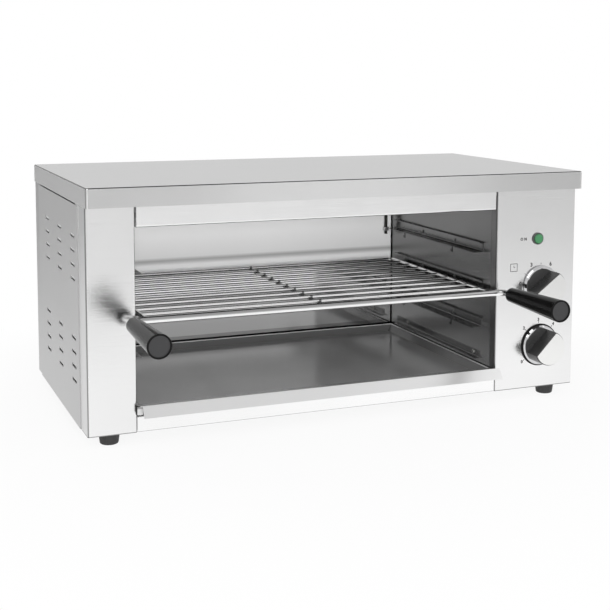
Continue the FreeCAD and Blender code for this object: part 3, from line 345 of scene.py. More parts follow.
def brushed_steel(name, tint, roughness, along="X", along_on_sides="Z", depth=0.00003,
                  spread=0.05, metallic=1.0, marks=None):
    """Brushed sheet: grain in bump, roughness and tone under soft handling marks."""
    material, recipe = new_material(name)
    lines = grain(recipe, along, along_on_sides)
    cloud = recipe.noise(recipe.place(), scale=6.0, detail=3.0)
    dark, light = shades(tint, spread)
    shade = recipe.blend(0.5 + swing(lines, 0.7) + swing(cloud, 1.4), dark, light)
    uneven = roughness + swing(lines, 0.08) + swing(cloud, 0.05)
    recipe.finish(**marked(recipe, marks, shade, uneven, metallic),
                  specular_tint=BRUSHED_EDGE, normal=recipe.bump(lines, depth))
    return material


def polished_steel(name, tint, roughness, edge=0.9, metallic=1.0, marks=None):
    """Smooth bright metal with faint streaks and wipe marks."""
    material, recipe = new_material(name)
    cloud = recipe.noise(recipe.place(), scale=18.0, detail=4.0)
    fine = recipe.noise(recipe.place(), scale=900.0)
    shade = recipe.blend(cloud, *shades(tint, POLISHED_SPREAD))
    recipe.finish(**marked(recipe, marks, shade, roughness + swing(cloud, 0.05), metallic),
                  specular_tint=(edge, edge, edge, 1.0), normal=recipe.bump(fine, 0.000004))
    return material


def moulded_plastic(name, tint, roughness, shine=0.5):
    """Moulded black or grey plastic with a faint orange-peel skin."""
    material, recipe = new_material(name)
    skin = recipe.noise(recipe.place(), scale=350.0)
    cloud = recipe.noise(recipe.place(), scale=30.0, detail=3.0)
    dusty = tuple(part * 1.6 + 0.002 for part in tint)
    recipe.finish(base_color=recipe.blend(cloud, tint, dusty),
                  roughness=roughness + swing(cloud, 0.08),
                  normal=recipe.bump(skin, 0.00002), specular_ior_level=shine)
    return material


def rubber(name, tint):
    """Matt rubber with a fine dry grain."""
    material, recipe = new_material(name)
    skin = recipe.noise(recipe.place(), scale=1200.0, detail=3.0)
    worn = recipe.noise(recipe.place(), scale=60.0, detail=3.0)
    pale = tuple(part * 2.2 + 0.01 for part in tint)
    recipe.finish(base_color=recipe.blend(worn, tint, pale), roughness=0.62 + swing(skin, 0.2),
                  normal=recipe.bump(skin, 0.00006))
    return material


def turned_metal(name, tint, roughness, centre):
    """Metal with fine turning rings round an axis that looks along Y."""
    material, recipe = new_material(name)
    outwards = recipe.value("ShaderNodeCombineXYZ", "Vector", None,
                            {"X": recipe.from_axis(centre) * RING_GRAIN})
    rings = recipe.noise(outwards, scale=1.0, detail=3.0, roughness=0.7)
    recipe.finish(base_color=recipe.blend(rings, *shades(tint, 0.1)), metallic=1.0,
                  roughness=roughness + swing(rings, 0.1), normal=recipe.bump(rings, 0.00001))
    return material


def sheath_metal(name, tint):
    """Dull heat-stained sheath of a heating element."""
    material, recipe = new_material(name)
    stain = recipe.noise(recipe.place(), scale=40.0, detail=4.0)
    fine = recipe.noise(recipe.place(), scale=700.0, detail=3.0)
    browned = (tint[0] * 2.4, tint[1] * 1.9, tint[2] * 1.5)
    recipe.finish(base_color=recipe.blend(stain, tint, browned), metallic=0.6,
                  roughness=0.48 + swing(fine, 0.2), normal=recipe.bump(fine, 0.00004))
    return material


def lens_plastic(name, tint, centre):
    """Translucent coloured plastic with concentric ribs."""
    material, recipe = new_material(name)
    radius = recipe.from_axis(centre)
    ribs = recipe.number("SINE", radius * RIB_GRAIN)
    inside_rim = recipe.fade(radius, 150.0, [(0.0, 1.0), (0.72, 0.9), (0.92, 0.25)])
    pale = tuple(min(1.0, part * 1.7 + 0.02) for part in tint)
    shade = recipe.blend(inside_rim, scaled(tint, 0.3), pale)
    recipe.finish(base_color=shade, roughness=0.22, coat_weight=0.6, coat_roughness=0.05,
                  normal=recipe.bump(ribs, 0.00006))
    return material


def print_ink(name, tint):
    """Flat printed ink, a little worn."""
    material, recipe = new_material(name)
    worn = recipe.noise(recipe.place(), scale=900.0, detail=3.0)
    faded = tuple(part + 0.1 for part in tint)
    recipe.finish(base_color=recipe.blend(worn * 0.6, tint, faded), roughness=0.55)
    return material


def dress(material, *names):
    """Give CAD nodes a finish."""
    for name in names:
        node = NODES[name]
        if not node.material_slots:
            node.data.materials.append(None)
        for slot in node.material_slots:
            slot.link = "OBJECT"
            slot.material = material


def add_piece(name, shape, material, body):
    """A new mesh piece that rides on a body."""
    mesh = bpy.data.meshes.new(name)
    shape.normal_update()
    shape.to_mesh(mesh)
    shape.free()
    piece = bpy.data.objects.new(name, mesh)
    bpy.context.scene.collection.objects.link(piece)
    mesh.materials.append(material)
    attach(piece, body)


DOME_RINGS, DOME_SIDES = 4, 16


def add_dome(shape, centre, towards, radius, height):
    """A low rounded dome on a surface that looks along a direction, closed underneath."""
    direction = Vector(towards).normalized()
    turn = Vector((0, 0, 1)).rotation_difference(direction).to_matrix()
    rows = []
    for ring in range(DOME_RINGS):
        angle = ring / DOME_RINGS * math.pi / 2
        flat, rise = radius * math.cos(angle), height * math.sin(angle)
        rows.append([shape.verts.new(Vector(centre) + turn @ Vector((
            flat * math.cos(2 * math.pi * side / DOME_SIDES),
            flat * math.sin(2 * math.pi * side / DOME_SIDES), rise)))
            for side in range(DOME_SIDES)])
    top = shape.verts.new(Vector(centre) + turn @ Vector((0, 0, height)))
    for low, high in zip(rows, rows[1:]):
        for side in range(DOME_SIDES):
            following = (side + 1) % DOME_SIDES
            face = shape.faces.new((low[side], low[following], high[following], high[side]))
            face.smooth = True
    for side in range(DOME_SIDES):
        face = shape.faces.new((rows[-1][side], rows[-1][(side + 1) % DOME_SIDES], top))
        face.smooth = True
    shape.faces.new(rows[0][::-1])


def add_bar(shape, start, end, width, normal, rise):
    """A thin flat bar printed on a surface, from one point to another."""
    start, end, normal = Vector(start), Vector(end), Vector(normal)
    side = (end - start).cross(normal).normalized() * width / 2
    low = [start - side, start + side, end + side, end - side]
    corners = [shape.verts.new(point) for point in low]
    raised = [shape.verts.new(point + normal * rise) for point in low]
    shape.faces.new(corners)
    shape.faces.new(raised[::-1])
    for index in range(4):
        following = (index + 1) % 4
        shape.faces.new((corners[index], raised[index], raised[following], corners[following]))


def centre_of(node):
    """The middle of a CAD node's box."""
    low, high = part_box(node)
    return (low + high) / 2


class GRILL_OT_casing(Operator):
    """Brushed steel on the lid, the front, the sides, the back and the base"""
    bl_idname = "grill.casing"
    bl_label = "Casing"

    # Pale colour of the painted highlights and of the louvres' painted light.
    BRIGHT = (0.98, 0.98, 0.98)
    FOLD_LIGHT, CLEAN_LIGHT = 1.3, 1.15
    # The louvres' painted light is pale and matt.
    FOLD_GLOSS, LOUVRE_GLOSS = (0.28, 1.0), (0.5, 0.0)
    LINE, HEM, FOLD_END = 0.9 * MM, 0.8 * MM, 5 * MM
    # Strengths of the painted shade lines.
    LINE_INK, EDGE_INK, JOINT_INK = 0.7, 0.5, 0.8
    # Parts of a face's direction that tell folds, corners and slopes from the flat faces.
    FRONT, SLOPE, CORNER = -0.9, -0.3, 0.35
    UPPER_FOLD, DARK_EDGE, BRIGHT_EDGE = (0.3, 0.95), (0.6, -0.2), (0.15, -0.8)
    # Painted reflection on the lid's front: a painted highlight in the middle, painted shade at
    # the ends.
    WIPED = (3.0, [(0.15, 0.4), (0.55, 0.0)])
    HAZY = (3.0, [(0.35, 0.0), (0.85, 0.16)])
    CLEAN = [(0.5, 0.0), (1.0, 1.0)]

    def execute(self, context):
        colours = context.scene.grill_colours
        stain, walls = colours.stain, colours.side_walls
        # Painted light: a lighter copy of the side steel for the post's fold.
        fold = scaled(colours.sides, self.FOLD_LIGHT)
        clean = scaled(colours.sides, self.CLEAN_LIGHT)
        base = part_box("left_front_column")[0].z
        opening_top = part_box("front_beam")[0].z
        plate_low, plate_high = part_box("left_side_panel")

        def folds(recipe):
            """Painted reflections: dark lines along the lid's upper folds and its front corners,
            a bright line beside the corners, and a front painted bright in its middle and shaded
            towards its ends."""
            across, along, up = recipe.facing()
            aside = abs(recipe.spot()[0])
            front = along < self.FRONT
            wiped = recipe.fade(aside, *self.WIPED) * front
            hazy = recipe.fade(aside, *self.HAZY) * front
            upper = (up > self.UPPER_FOLD[0]) * (up < self.UPPER_FOLD[1])
            dark_edge, bright_edge = ((abs(across) > sideways) * (along < frontal)
                                      for sideways, frontal in (self.DARK_EDGE, self.BRIGHT_EDGE))
            return [(upper, stain), (wiped, self.BRIGHT), (hazy, stain),
                    (dark_edge * self.EDGE_INK, stain), (bright_edge, self.BRIGHT)]

        def edges(recipe, tint):
            """The fold that looks left, duller and in a painted tone, with a painted highlight
            line at its end, and painted shade lines down its corner and along the lower edge."""
            across, along, _ = recipe.facing()
            _, depth, height = recipe.spot()
            leftwards = across < -SQUARELY
            corner = (across < -self.CORNER) * (along < -self.CORNER)
            end = leftwards * (depth > plate_low.y - self.FOLD_END)
            return [(leftwards, tint, *self.FOLD_GLOSS), (end, self.BRIGHT),
                    (corner * self.LINE_INK, stain),
                    ((height < base + self.LINE) * self.LINE_INK, stain)]

        def outer_fold(recipe):
            """The post's fold looks outwards."""
            return edges(recipe, fold)

        def both_folds(recipe):
            """One of the panel's folds looks into the opening in the walls' painted shade, the
            other outwards in the fold's painted light.
            """
            outwards = recipe.facing()[0] > SQUARELY
            return edges(recipe, walls) + [(outwards, fold, *self.FOLD_GLOSS)]

        def hem(recipe):
            """Painted shade: a thin dark line along the lower edge of the sheet over the opening.
            """
            return [((recipe.spot()[2] < opening_top + self.HEM) * self.LINE_INK, stain)]

        def plate_joint(recipe):
            """Painted shade: a dark line where the side plates end."""
            along = recipe.spot()[1]
            line = (along > plate_high.y) * (along < plate_high.y + self.LINE)
            return [(line * self.JOINT_INK, stain)]

        def plate_marks(recipe):
            """The plates are lighter towards the lid, and painted light inside the louvres in
            place of their shade.
            """
            height = (recipe.spot()[2] - plate_low.z) * (1.0 / (plate_high.z - plate_low.z))
            return [(recipe.ramp(height, self.CLEAN), clean),
                    (recipe.facing()[2] < self.SLOPE, self.BRIGHT, *self.LOUVRE_GLOSS)]

        for name, tint, roughness, depth, marks, node in (
                ("lid_steel", colours.lid, 0.24, 0.00003, folds, "top_cover"),
                ("front_steel", colours.front, 0.17, 0.00005, outer_fold, "left_front_column"),
                ("rail_steel", colours.beam, 0.17, 0.00005, outer_fold, "front_bottom_rail"),
                ("beam_steel", colours.beam, 0.15, 0.00004, hem, "front_beam"),
                ("panel_steel", colours.front, 0.17, 0.00005, both_folds, "control_panel")):
            dress(brushed_steel(name, tint, roughness, depth=depth, marks=marks), node)
        # The sides' colour is partly painted shade.
        side = {"tint": colours.sides, "roughness": 0.38, "along_on_sides": "Y"}
        dress(brushed_steel("side_steel", **side, marks=plate_marks), "left_side_panel",
              "right_side_panel", "base_pan")
        dress(brushed_steel("back_steel", **side, marks=plate_joint), "back_panel")
        return {"FINISHED"}


class GRILL_OT_cavity(Operator):
    """Satin steel on the cavity's liners, supports and runners, with their rivets"""
    bl_idname = "grill.cavity"
    bl_label = "Cavity"

    LINER = 0.8 * MM
    # Heights over the rack of the painted reflection bands, and of the painted shade over the
    # tray's rim.
    SMOKE_RISE, HAZE_RISE = 9.5 * MM, 16.0 * MM
    FILM_RISE, FILM_INK = 1.5 * MM, 0.4
    HOOK, HOOK_INK = 7.0 * MM, 0.85
    RIVET_PLACES, RIVET_DROP, RIVET_HEIGHT = (0.29, 0.66), 6.5 * MM, 0.5
    FOOT_GLOSS = (0.07, 1.0)
    CLEANER = 2.2
    FOOT = (20.0, [(0.20, 0.0), (0.30, 1.0)])
    # Painted reflection bands on the back wall.
    SMOKE = (100.0, [(0.10, 0.50), (0.55, 0.0)])
    HAZE = (20.0, [(0.0, 0.20), (0.9, 0.0)])
    CLEAN = (12.0, [(0.3, 0.0), (1.0, 1.0)])

    def execute(self, context):
        self.liners(context.scene.grill_colours)
        self.supports(context.scene.grill_colours, context.scene.grill_sizes.rivet)
        return {"FINISHED"}

    def liners(self, colours):
        """Satin sheet round the cavity, with painted dark reflections above the rack and painted
        shade over the tray's rim, a polished foot on the back wall and lighter side walls below
        the rack.
        """
        stain = colours.stain
        rim = tray_rim()
        film_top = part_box("left_tray_runner")[0].z
        rack_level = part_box("rack_grid")[1].z

        def wall_marks(recipe):
            """The polished foot of the wall, painted dark reflections in soft bands over the
            rack, and painted shade on the strip just over the tray's rim."""
            height = recipe.spot()[2]
            foot = recipe.fade(rack_level - height, *self.FOOT)
            over_rack = height - rack_level
            smoke = recipe.fade(abs(over_rack - self.SMOKE_RISE), *self.SMOKE)
            haze = (recipe.fade(abs(over_rack - self.HAZE_RISE), *self.HAZE)
                    * (over_rack > self.SMOKE_RISE))
            film = (height > rim + self.FILM_RISE) * (height < film_top) * self.FILM_INK
            return [(haze, stain), (smoke, stain), (foot, colours.low_wall, *self.FOOT_GLOSS),
                    (film, stain)]

        def clean_foot(recipe):
            """The side walls' painted shade is lighter below the rack."""
            return [(recipe.fade(rack_level - recipe.spot()[2], *self.CLEAN),
                     scaled(colours.side_walls, self.CLEANER))]

        dress(brushed_steel("back_wall_steel", colours.back_wall, roughness=0.30, along="Z",
                            spread=0.02, depth=0.000004, metallic=0.12, marks=wall_marks),
              "cavity_back_wall")
        # The side walls' dark colour is painted shade.
        dress(brushed_steel("side_wall_steel", colours.side_walls, roughness=0.24,
                            along_on_sides="Y", marks=clean_foot),
              "cavity_left_wall", "cavity_right_wall", "cavity_floor")
        dress(brushed_steel("ceiling_steel", colours.ceiling, roughness=0.45, spread=0.2),
              "cavity_ceiling")

    def supports(self, colours, radius):
        """The rack's supports with their rivets, and the tray's runners."""
        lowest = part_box("left_lower_support")[0].z
        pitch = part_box("left_middle_support")[0].z - lowest

        def hooks(recipe):
            """Painted shade on the hooks under the ledges."""
            height = recipe.number("MODULO", recipe.spot()[2] - lowest, pitch)
            return [((height < self.HOOK) * self.HOOK_INK, scaled(colours.stain, DEEP))]

        lengthwise = {"tint": colours.supports, "roughness": 0.24, "along": "Y",
                      "along_on_sides": "Y"}
        support_steel = brushed_steel("support_steel", **lengthwise, marks=hooks)
        runner_steel = brushed_steel("runner_steel", **lengthwise)
        rivet_steel = polished_steel("rivet_steel", colours.rivets, roughness=0.35)
        rivets = bmesh.new()
        for side, inward in (("left", 1), ("right", -1)):
            dress(runner_steel, side + "_tray_runner")
            for row in ("upper", "middle", "lower"):
                name = f"{side}_{row}_support"
                dress(support_steel, name)
                low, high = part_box(name)
                wall = low.x if inward > 0 else high.x
                for part in self.RIVET_PLACES:
                    spot = (wall + inward * self.LINER, low.y + part * (high.y - low.y),
                            high.z - self.RIVET_DROP)
                    add_dome(rivets, spot, (inward, 0, 0), radius, radius * self.RIVET_HEIGHT)
        add_piece("support_rivets", rivets, rivet_steel, "casing")


class GRILL_OT_heat(Operator):
    """Stained sheaths, hangers, glands and the thermostat bulb"""
    bl_idname = "grill.heat"
    bl_label = "Heating elements"

    def execute(self, context):
        colours = context.scene.grill_colours
        dress(sheath_metal("element_sheath", colours.element), "front_heating_element",
              "rear_heating_element")
        dress(polished_steel("plain_steel", colours.plain, roughness=0.28), "element_glands",
              "left_element_hanger", "right_element_hanger", "bulb_clips", "timer_shaft",
              "thermostat_shaft")
        dress(polished_steel("bulb_metal", colours.bulb, roughness=0.32), "thermostat_bulb")
        return {"FINISHED"}


class GRILL_OT_rack(Operator):
    """Bright wire on the rack, with a weld bead at each joint"""
    bl_idname = "grill.rack"
    bl_label = "Rack"

    WIRES, BORDER, ROD = 10, 2.5 * MM, 4 * MM
    BESIDE, ABOVE, BEHIND_ROD = 1.9 * MM, 0.9 * MM, 4.2 * MM
    BEAD_RADIUS, BEAD_HEIGHT = 0.7, 0.45
    # Darkening along the cross wire, and painted shade on the rod's upper side and the wires'
    # undersides.
    CROSSING, CROSSING_INK = 1.6 * MM, 0.8
    UPPER_FILM = [(0.0, 0.0), (0.3, 0.6)]
    UNDER_STRETCH, UNDER_FILM = 300.0, [(0.05, 0.95), (0.38, 0.0)]

    def execute(self, context):
        colours = context.scene.grill_colours
        stain = colours.stain
        low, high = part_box("rack_grid")
        wire_level = high.z - self.BORDER
        middle = (low.x + high.x) / 2

        def film_above(recipe):
            """Painted dark reflection on the upper side."""
            return [(recipe.ramp(recipe.facing()[2], self.UPPER_FILM), stain)]

        def film_below(recipe):
            """Painted shade on the undersides, and darker along the cross wire."""
            across, _, height = recipe.spot()
            under = recipe.ramp((height - wire_level) * self.UNDER_STRETCH + 0.5, self.UNDER_FILM)
            crossing = abs(across - middle) < self.CROSSING
            return [(under, scaled(stain, DEEP)), (crossing * self.CROSSING_INK, stain)]

        dress(polished_steel("rod_wire", colours.wire, roughness=0.12, marks=film_above),
              "rack_front_rod")
        wire = polished_steel("grid_wire", colours.wire, roughness=0.16, marks=film_below)
        dress(wire, "rack_grid")
        radius = context.scene.grill_sizes.weld
        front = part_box("rack_front_rod")[1].y - self.ROD
        pitch = (high.y - self.BORDER - front) / self.WIRES
        welds = bmesh.new()
        for index in range(self.WIRES):
            along = front + pitch * index + (self.BEHIND_ROD if index == 0 else 0)
            for across, inward in ((low.x + self.BORDER, 1), (high.x - self.BORDER, -1)):
                add_dome(welds, (across + inward * self.BESIDE, along, wire_level + self.ABOVE),
                         (0, 0, 1), radius * self.BEAD_RADIUS, radius * self.BEAD_HEIGHT)
        add_piece("rack_welds", welds, wire, "rack")
        return {"FINISHED"}


class GRILL_OT_grips(Operator):
    """Glossy black grips, each with a turned grey disc in its end"""
    bl_idname = "grill.grips"
    bl_label = "Grips"

    def execute(self, context):
        colours = context.scene.grill_colours
        dress(moulded_plastic("grip_plastic", colours.plastic, roughness=0.18, shine=0.1),
              "left_grip", "right_grip")
        for side in ("left", "right"):
            name = side + "_grip_disc"
            dress(turned_metal(side + "_disc_metal", colours.disc, roughness=0.42,
                               centre=centre_of(name)), name)
        return {"FINISHED"}


class GRILL_OT_tray(Operator):
    """Polished steel on the crumb tray"""
    bl_idname = "grill.tray"
    bl_label = "Crumb tray"

    # Depths are measured from the cabinet's front.
    OUTSIDE, BEHIND_START, BEHIND_END, TUB_START = -6.2 * MM, -7.5 * MM, 9 * MM, 10 * MM
    EDGE = 0.8 * MM
    LEVEL_FACE = 0.93
    # Strengths of the painted shade on the slopes and behind the lip.
    SLOPE_INK, BEHIND_INK = 0.8, 0.6
    LIP_GLOSS = (0.3, 0.8)

    def execute(self, context):
        colours = context.scene.grill_colours
        lip, stain = colours.tray_lip, colours.stain
        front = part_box("front_bottom_rail")[0].y
        rim = tray_rim()

        def lip_and_rim(recipe):
            """Painted shade on the tub's slopes, the lip in front of the cabinet, a painted shade
            line behind it, and a painted highlight along the tub's rim."""
            _, along, up = recipe.spot()
            slope = recipe.facing()[2] < self.LEVEL_FACE
            outside = along < front + self.OUTSIDE
            behind = ((along > front + self.BEHIND_START) * (along < front + self.BEHIND_END)
                      * (up > rim))
            edge = (up > rim - self.EDGE) * (along > front + self.TUB_START)
            return [(slope * self.SLOPE_INK, stain), (outside, lip, *self.LIP_GLOSS),
                    (behind * self.BEHIND_INK, stain), (edge, lip)]

        dress(polished_steel("tray_steel", colours.tray, roughness=0.12, edge=0.6, metallic=0.25,
                             marks=lip_and_rim), "crumb_tray")
        return {"FINISHED"}


class GRILL_OT_dials(Operator):
    """Black dials with a chrome skirt and a brushed cap, and the housings behind them"""
    bl_idname = "grill.dials"
    bl_label = "Dials"

    def execute(self, context):
        colours = context.scene.grill_colours
        dress(moulded_plastic("dial_plastic", colours.dial, roughness=0.28), "timer_dial_core",
              "thermostat_dial_core")
        dress(moulded_plastic("bezel_plastic", colours.plastic, roughness=0.3, shine=0.15),
              "lower_bezel_ring")
        dress(polished_steel("skirt_chrome", colours.chrome, roughness=0.08), "timer_dial_skirt",
              "thermostat_dial_skirt")
        dress(brushed_steel("cap_metal", colours.cap, roughness=0.22, along_on_sides="X"),
              "timer_dial_cap", "thermostat_dial_cap")
        dress(moulded_plastic("housing_plastic", colours.housing, roughness=0.5), "timer_body",
              "thermostat_body", "terminal_block", "lamp_body")
        return {"FINISHED"}


class GRILL_OT_lamp(Operator):
    """Green lens of the pilot lamp"""
    bl_idname = "grill.lamp"
    bl_label = "Pilot lamp"

    def execute(self, context):
        colours = context.scene.grill_colours
        dress(lens_plastic("lamp_green", colours.lens, centre_of("lamp_lens")), "lamp_lens")
        return {"FINISHED"}


# The height of a numeral as a part of the font's size.
NUMERAL = 0.7


def add_number(text, across, up, front, height, ink, spacing=1.0):
    """A small printed number or word on the panel."""
    sizes = bpy.context.scene.grill_sizes
    curve = bpy.data.curves.new("print_" + text, "FONT")
    curve.body = text
    curve.size = height / NUMERAL
    curve.offset = sizes.stroke
    curve.align_x = "CENTER"
    curve.align_y = "CENTER"
    curve.space_character = spacing
    curve.extrude = sizes.print_rise
    curve.resolution_u = 3
    carrier = bpy.data.objects.new(f"print_{text}_{round(up / MM)}", curve)
    bpy.context.scene.collection.objects.link(carrier)
    carrier.matrix_world = Matrix.Translation((across, front, up)) @ Matrix.Rotation(
        math.pi / 2, 4, "X")
    curve.materials.append(ink)
    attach(carrier, "casing")


class GRILL_OT_marks(Operator):
    """Numbers and ticks round the dials, the clock sign and the lamp's word"""
    bl_idname = "grill.marks"
    bl_label = "Printed marks"

    # For each dial: its skirt, the numbers, the first one's angle and the step in degrees, their
    # radius, their share of the digit height, and the ticks' radius and lag in steps.
    SCALES = (("timer_dial_skirt", ("0", "3", "6", "9", "12"), 174, -56.5, 29 * MM, 1.0,
               25.6 * MM, 0.5),
              ("thermostat_dial_skirt", ("0", "1", "2", "3", "4", "5", "6"), 219, -42,
               31.5 * MM, 0.8, 27 * MM, 0.0))
    WORD_ASIDE, WORD_HEIGHT, WORD_SPACING = 20 * MM, 0.7, 1.7
    SIGN_ASIDE, SIGN_RISE, SIGN_HALF = 38.4 * MM, 23.8 * MM, 4.7 * MM
    LONG_HAND, SHORT_HAND = 0.55, 0.4

    def execute(self, context):
        sizes = context.scene.grill_sizes
        ink = print_ink("print_ink", context.scene.grill_colours.print_ink)
        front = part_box("control_panel")[0].y
        bars = bmesh.new()
        for skirt, texts, first, step, radius, share_of_digit, tick_radius, lag in self.SCALES:
            centre = centre_of(skirt)
            middle = Vector((centre.x, front, centre.z))
            for index, text in enumerate(texts):
                place = middle + self.towards(first + step * index) * radius
                add_number(text, place.x, place.z, front, sizes.digit * share_of_digit, ink)
                turn = self.towards(first + step * (index + lag))
                start = middle + turn * tick_radius
                add_bar(bars, start, start + turn * sizes.tick_length, sizes.tick_width,
                        FRONTWARDS, sizes.print_rise)
        lamp = centre_of("lamp_body")
        add_number("ON", lamp.x - self.WORD_ASIDE, lamp.z, front, sizes.digit * self.WORD_HEIGHT,
                   ink, self.WORD_SPACING)
        timer = centre_of("timer_dial_skirt")
        self.clock_sign(bars, Vector((timer.x - self.SIGN_ASIDE, front,
                                      timer.z + self.SIGN_RISE)), sizes)
        add_piece("print_ticks", bars, ink, "casing")
        return {"FINISHED"}

    @staticmethod
    def towards(angle):
        """The direction on the panel at an angle in degrees from the right."""
        return Vector((math.cos(math.radians(angle)), 0, math.sin(math.radians(angle))))

    def clock_sign(self, bars, centre, sizes):
        """A square frame with two short hands."""
        half = self.SIGN_HALF
        corners = [(-half, -half), (half, -half), (half, half), (-half, half)]
        lines = [(corners[index], corners[(index + 1) % 4]) for index in range(4)]
        lines += [((0, 0), (0, half * self.LONG_HAND)), ((0, 0), (half * self.SHORT_HAND, 0))]
        for line in lines:
            start, end = (centre + Vector((across, 0, up)) for across, up in line)
            add_bar(bars, start, end, sizes.tick_width, FRONTWARDS, sizes.print_rise)


class GRILL_OT_screws(Operator):
    """Plated screws, with a dark cross of painted shade on each head for its cross recess"""
    bl_idname = "grill.screws"
    bl_label = "Screws"

    ARM_WIDTH, RISE = 0.45, 0.05 * MM

    def execute(self, context):
        colours = context.scene.grill_colours
        dress(polished_steel("plated_screws", colours.screws, roughness=0.22),
              "back_panel_screws", "lid_screws", "foot_screws", "left_runner_screws",
              "right_runner_screws")
        dark = moulded_plastic("recess_shadow", colours.recess, roughness=0.6)
        reach = context.scene.grill_sizes.recess
        crosses = bmesh.new()
        upright = Vector((0, 0, 1))
        for name, normal in (("back_panel_screws", (0, 1, 0)), ("lid_screws", (0, 1, 0)),
                             ("left_runner_screws", (1, 0, 0)),
                             ("right_runner_screws", (-1, 0, 0))):
            normal = Vector(normal)
            axis = 1 if normal.y else 0
            low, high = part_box(name)
            level = high[axis] if normal[axis] > 0 else low[axis]
            for spot in self.heads(name):
                spot[axis] = level
                for arm in (upright, upright.cross(normal)):
                    add_bar(crosses, spot - arm * reach, spot + arm * reach,
                            reach * self.ARM_WIDTH, normal, self.RISE)
        # The dark crosses are painted shade for the recesses.
        add_piece("screw_recesses", crosses, dark, "casing")
        return {"FINISHED"}

    @staticmethod
    def heads(name):
        """The middle of each screw in a group, from the vertices that edges join."""
        mesh = NODES[name].data
        parent = list(range(len(mesh.vertices)))

        def root(item):
            while parent[item] != item:
                parent[item] = parent[parent[item]]
                item = parent[item]
            return item

        places = {}
        for vertex in mesh.vertices:
            key = tuple(round(number, 6) for number in vertex.co)
            parent[vertex.index] = root(places.setdefault(key, vertex.index))
        for edge in mesh.edges:
            first, second = (root(index) for index in edge.vertices)
            parent[first] = second
        groups = {}
        for vertex in mesh.vertices:
            groups.setdefault(root(vertex.index), []).append(vertex.co)
        spots = []
        for points in groups.values():
            low = Vector([min(point[n] for point in points) for n in range(3)])
            high = Vector([max(point[n] for point in points) for n in range(3)])
            spots.append((low + high) / 2)
        return sorted(spots, key=lambda spot: tuple(spot))


class GRILL_OT_feet(Operator):
    """Rubber on the feet and the inlet's bush"""
    bl_idname = "grill.feet"
    bl_label = "Feet"

    def execute(self, context):
        dress(rubber("foot_rubber", context.scene.grill_colours.rubber), "front_left_foot",
              "front_right_foot", "rear_left_foot", "rear_right_foot", "cable_inlet_bush")
        return {"FINISHED"}


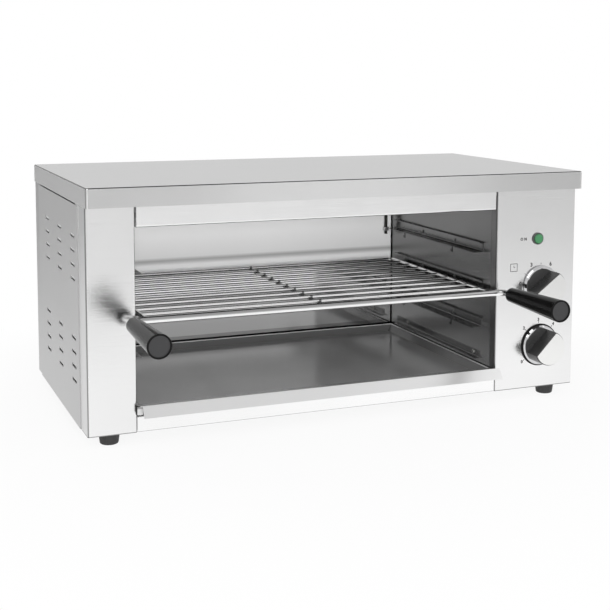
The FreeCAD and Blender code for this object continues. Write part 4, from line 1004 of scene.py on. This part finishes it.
class GRILL_OT_stage(Operator):
    """Pale floor, soft lamps, world and camera"""
    bl_idname = "grill.stage"
    bl_label = "Stage"

    EYE = Vector((-0.5461, -1.3294, 0.4057))
    YAW, PITCH, ROLL = 0.3978, 0.1014, 0.0042
    LENS, SENSOR = 70.31, 36.0
    PICTURE = 610
    FOCUS = (329.1, 189.9)
    CLIP_END = 50.0
    FLOOR_HALF = 12.0
    NEAR, CLEAR = 0.30, 0.62
    BRIGHT = (0.25, [(0.12, 1.0), (0.45, 0.0)])
    CARD, CARD_START, CARD_END = (0.8, -2.3), 0.3, 1.0
    HORIZON, OVERHEAD = 0.1, 0.8
    LAMPS = (("key", (-1.2, -1.6, 2.2), 1.8), ("fill", (1.9, -1.2, 1.4), 1.6),
             ("front", (-0.45, -2.6, 0.25), 0.9))
    AIM = Vector((0, 0, 0.15))

    def execute(self, context):
        context.scene.view_settings.view_transform = "Standard"
        self.floor(context)
        self.world(context)
        self.lamps(context)
        self.camera(context)
        return {"FINISHED"}

    def floor(self, context):
        """A wide floor that shows white where the camera sees it lit."""
        studio = context.scene.grill_studio
        shape = bmesh.new()
        bmesh.ops.create_grid(shape, x_segments=1, y_segments=1, size=self.FLOOR_HALF)
        mesh = bpy.data.meshes.new("floor")
        shape.to_mesh(mesh)
        shape.free()
        floor = bpy.data.objects.new("floor", mesh)
        context.scene.collection.objects.link(floor)
        material, recipe = new_material("studio_floor")
        matt = recipe.value("ShaderNodeBsdfDiffuse", "BSDF", None,
                            {"Color": (*studio.floor, 1.0), "Roughness": 1.0})
        glow = recipe.value("ShaderNodeEmission", "Emission", None,
                            {"Color": WHITE, "Strength": 1.0})
        path = recipe.add("ShaderNodeLightPath")
        seen = Signal(recipe, path.outputs["Is Camera Ray"])
        mirrored = Signal(recipe, path.outputs["Is Glossy Ray"])
        across, along, _ = recipe.spot()
        distance = recipe.diagonal(across, along)
        clear = recipe.ramp(distance, [(self.NEAR, studio.near_glow), (self.CLEAR, 1.0)])
        bright = recipe.fade(distance, *self.BRIGHT)
        card = recipe.ramp(recipe.diagonal(across - self.CARD[0], along - self.CARD[1]),
                           [(self.CARD_START, studio.card), (self.CARD_END, 0.0)])
        surface = recipe.value("ShaderNodeMixShader", "Shader", None,
                               {"Fac": seen * clear
                                + mirrored * recipe.number("MAXIMUM", bright, card),
                                "Shader": matt, "Shader_001": glow})
        recipe.add("ShaderNodeOutputMaterial", None, {"Surface": surface})
        mesh.materials.append(material)

    def world(self, context):
        """Even light, seen white round the horizon by the camera and by metal."""
        world = bpy.data.worlds.new("studio_world")
        context.scene.world = world
        world.use_nodes = True
        recipe = Recipe(world.node_tree)
        path = recipe.add("ShaderNodeLightPath")
        camera = Signal(recipe, path.outputs["Is Camera Ray"])
        glossy = Signal(recipe, path.outputs["Is Glossy Ray"])
        direction = recipe.value("ShaderNodeTexCoord", "Generated")
        studio = context.scene.grill_studio
        dome = recipe.ramp(recipe.parts(direction)[2],
                           [(self.HORIZON, studio.horizon), (self.OVERHEAD, studio.overhead)])
        other = 1.0 - recipe.number("MAXIMUM", camera, glossy)
        level = camera + glossy * dome + other * studio.world
        background = recipe.value("ShaderNodeBackground", "Background", None,
                                  {"Color": WHITE, "Strength": level})
        recipe.add("ShaderNodeOutputWorld", None, {"Surface": background})

    def lamps(self, context):
        """Two large soft lamps, and a low one for the cavity, which metal doesn't mirror."""
        for name, place, size in self.LAMPS:
            lamp = bpy.data.lights.new(name, "AREA")
            lamp.size = size
            lamp.energy = getattr(context.scene.grill_studio, name)
            carrier = bpy.data.objects.new(name, lamp)
            context.scene.collection.objects.link(carrier)
            carrier.location = place
            aim = self.AIM - Vector(place)
            carrier.rotation_euler = aim.to_track_quat("-Z", "Y").to_euler()
            carrier.visible_glossy = name != "front"

    def camera(self, context):
        """The photograph's view."""
        forward = Vector((math.sin(self.YAW) * math.cos(self.PITCH),
                          math.cos(self.YAW) * math.cos(self.PITCH), -math.sin(self.PITCH)))
        right = Vector((math.cos(self.YAW), -math.sin(self.YAW), 0))
        up = right.cross(forward)
        rolled_right = right * math.cos(self.ROLL) + up * math.sin(self.ROLL)
        rolled_up = up * math.cos(self.ROLL) - right * math.sin(self.ROLL)
        turn = Matrix((rolled_right, rolled_up, -forward)).transposed()
        lens = bpy.data.cameras.new("camera")
        lens.sensor_width = self.SENSOR
        lens.lens = self.LENS
        middle = self.PICTURE / 2
        lens.shift_x = (middle - self.FOCUS[0]) / self.PICTURE
        lens.shift_y = (self.FOCUS[1] - middle) / self.PICTURE
        lens.clip_end = self.CLIP_END
        camera = bpy.data.objects.new("camera", lens)
        context.scene.collection.objects.link(camera)
        camera.matrix_world = Matrix.Translation(self.EYE) @ turn.to_4x4()
        context.scene.camera = camera


class GRILL_PT_sidebar(Panel):
    """Buttons for each group of pieces"""
    bl_idname = "GRILL_PT_sidebar"
    bl_label = "Salamander Grill"
    bl_space_type = "VIEW_3D"
    bl_region_type = "UI"
    bl_category = "Grill"

    def draw(self, context):
        for operator in OPERATORS:
            self.layout.operator(operator.bl_idname)
        for group in GROUPS:
            settings = getattr(context.scene, group)
            column = self.layout.column()
            for name in settings.__annotations__:
                column.prop(settings, name)


OPERATORS = (GRILL_OT_casing, GRILL_OT_cavity, GRILL_OT_heat, GRILL_OT_rack, GRILL_OT_grips,
             GRILL_OT_tray, GRILL_OT_dials, GRILL_OT_lamp, GRILL_OT_marks, GRILL_OT_screws,
             GRILL_OT_feet, GRILL_OT_stage)
GROUPS = {"grill_colours": GrillColours, "grill_sizes": GrillSizes, "grill_studio": GrillStudio}


def register():
    """Make the settings, operators and panel known."""
    for cls in (*GROUPS.values(), *OPERATORS, GRILL_PT_sidebar):
        bpy.utils.register_class(cls)
    for name, cls in GROUPS.items():
        setattr(bpy.types.Scene, name, PointerProperty(type=cls))


def unregister():
    """Take them away again."""
    for name in GROUPS:
        delattr(bpy.types.Scene, name)
    for cls in (GRILL_PT_sidebar, *reversed(OPERATORS), *reversed(GROUPS.values())):
        bpy.utils.unregister_class(cls)


def main():
    """Dress the grill and build the stage."""
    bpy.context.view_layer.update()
    register()
    for operator in OPERATORS:
        family, name = operator.bl_idname.split(".")
        getattr(getattr(bpy.ops, family), name)()
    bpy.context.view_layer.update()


if __name__ == "__main__":
    main()
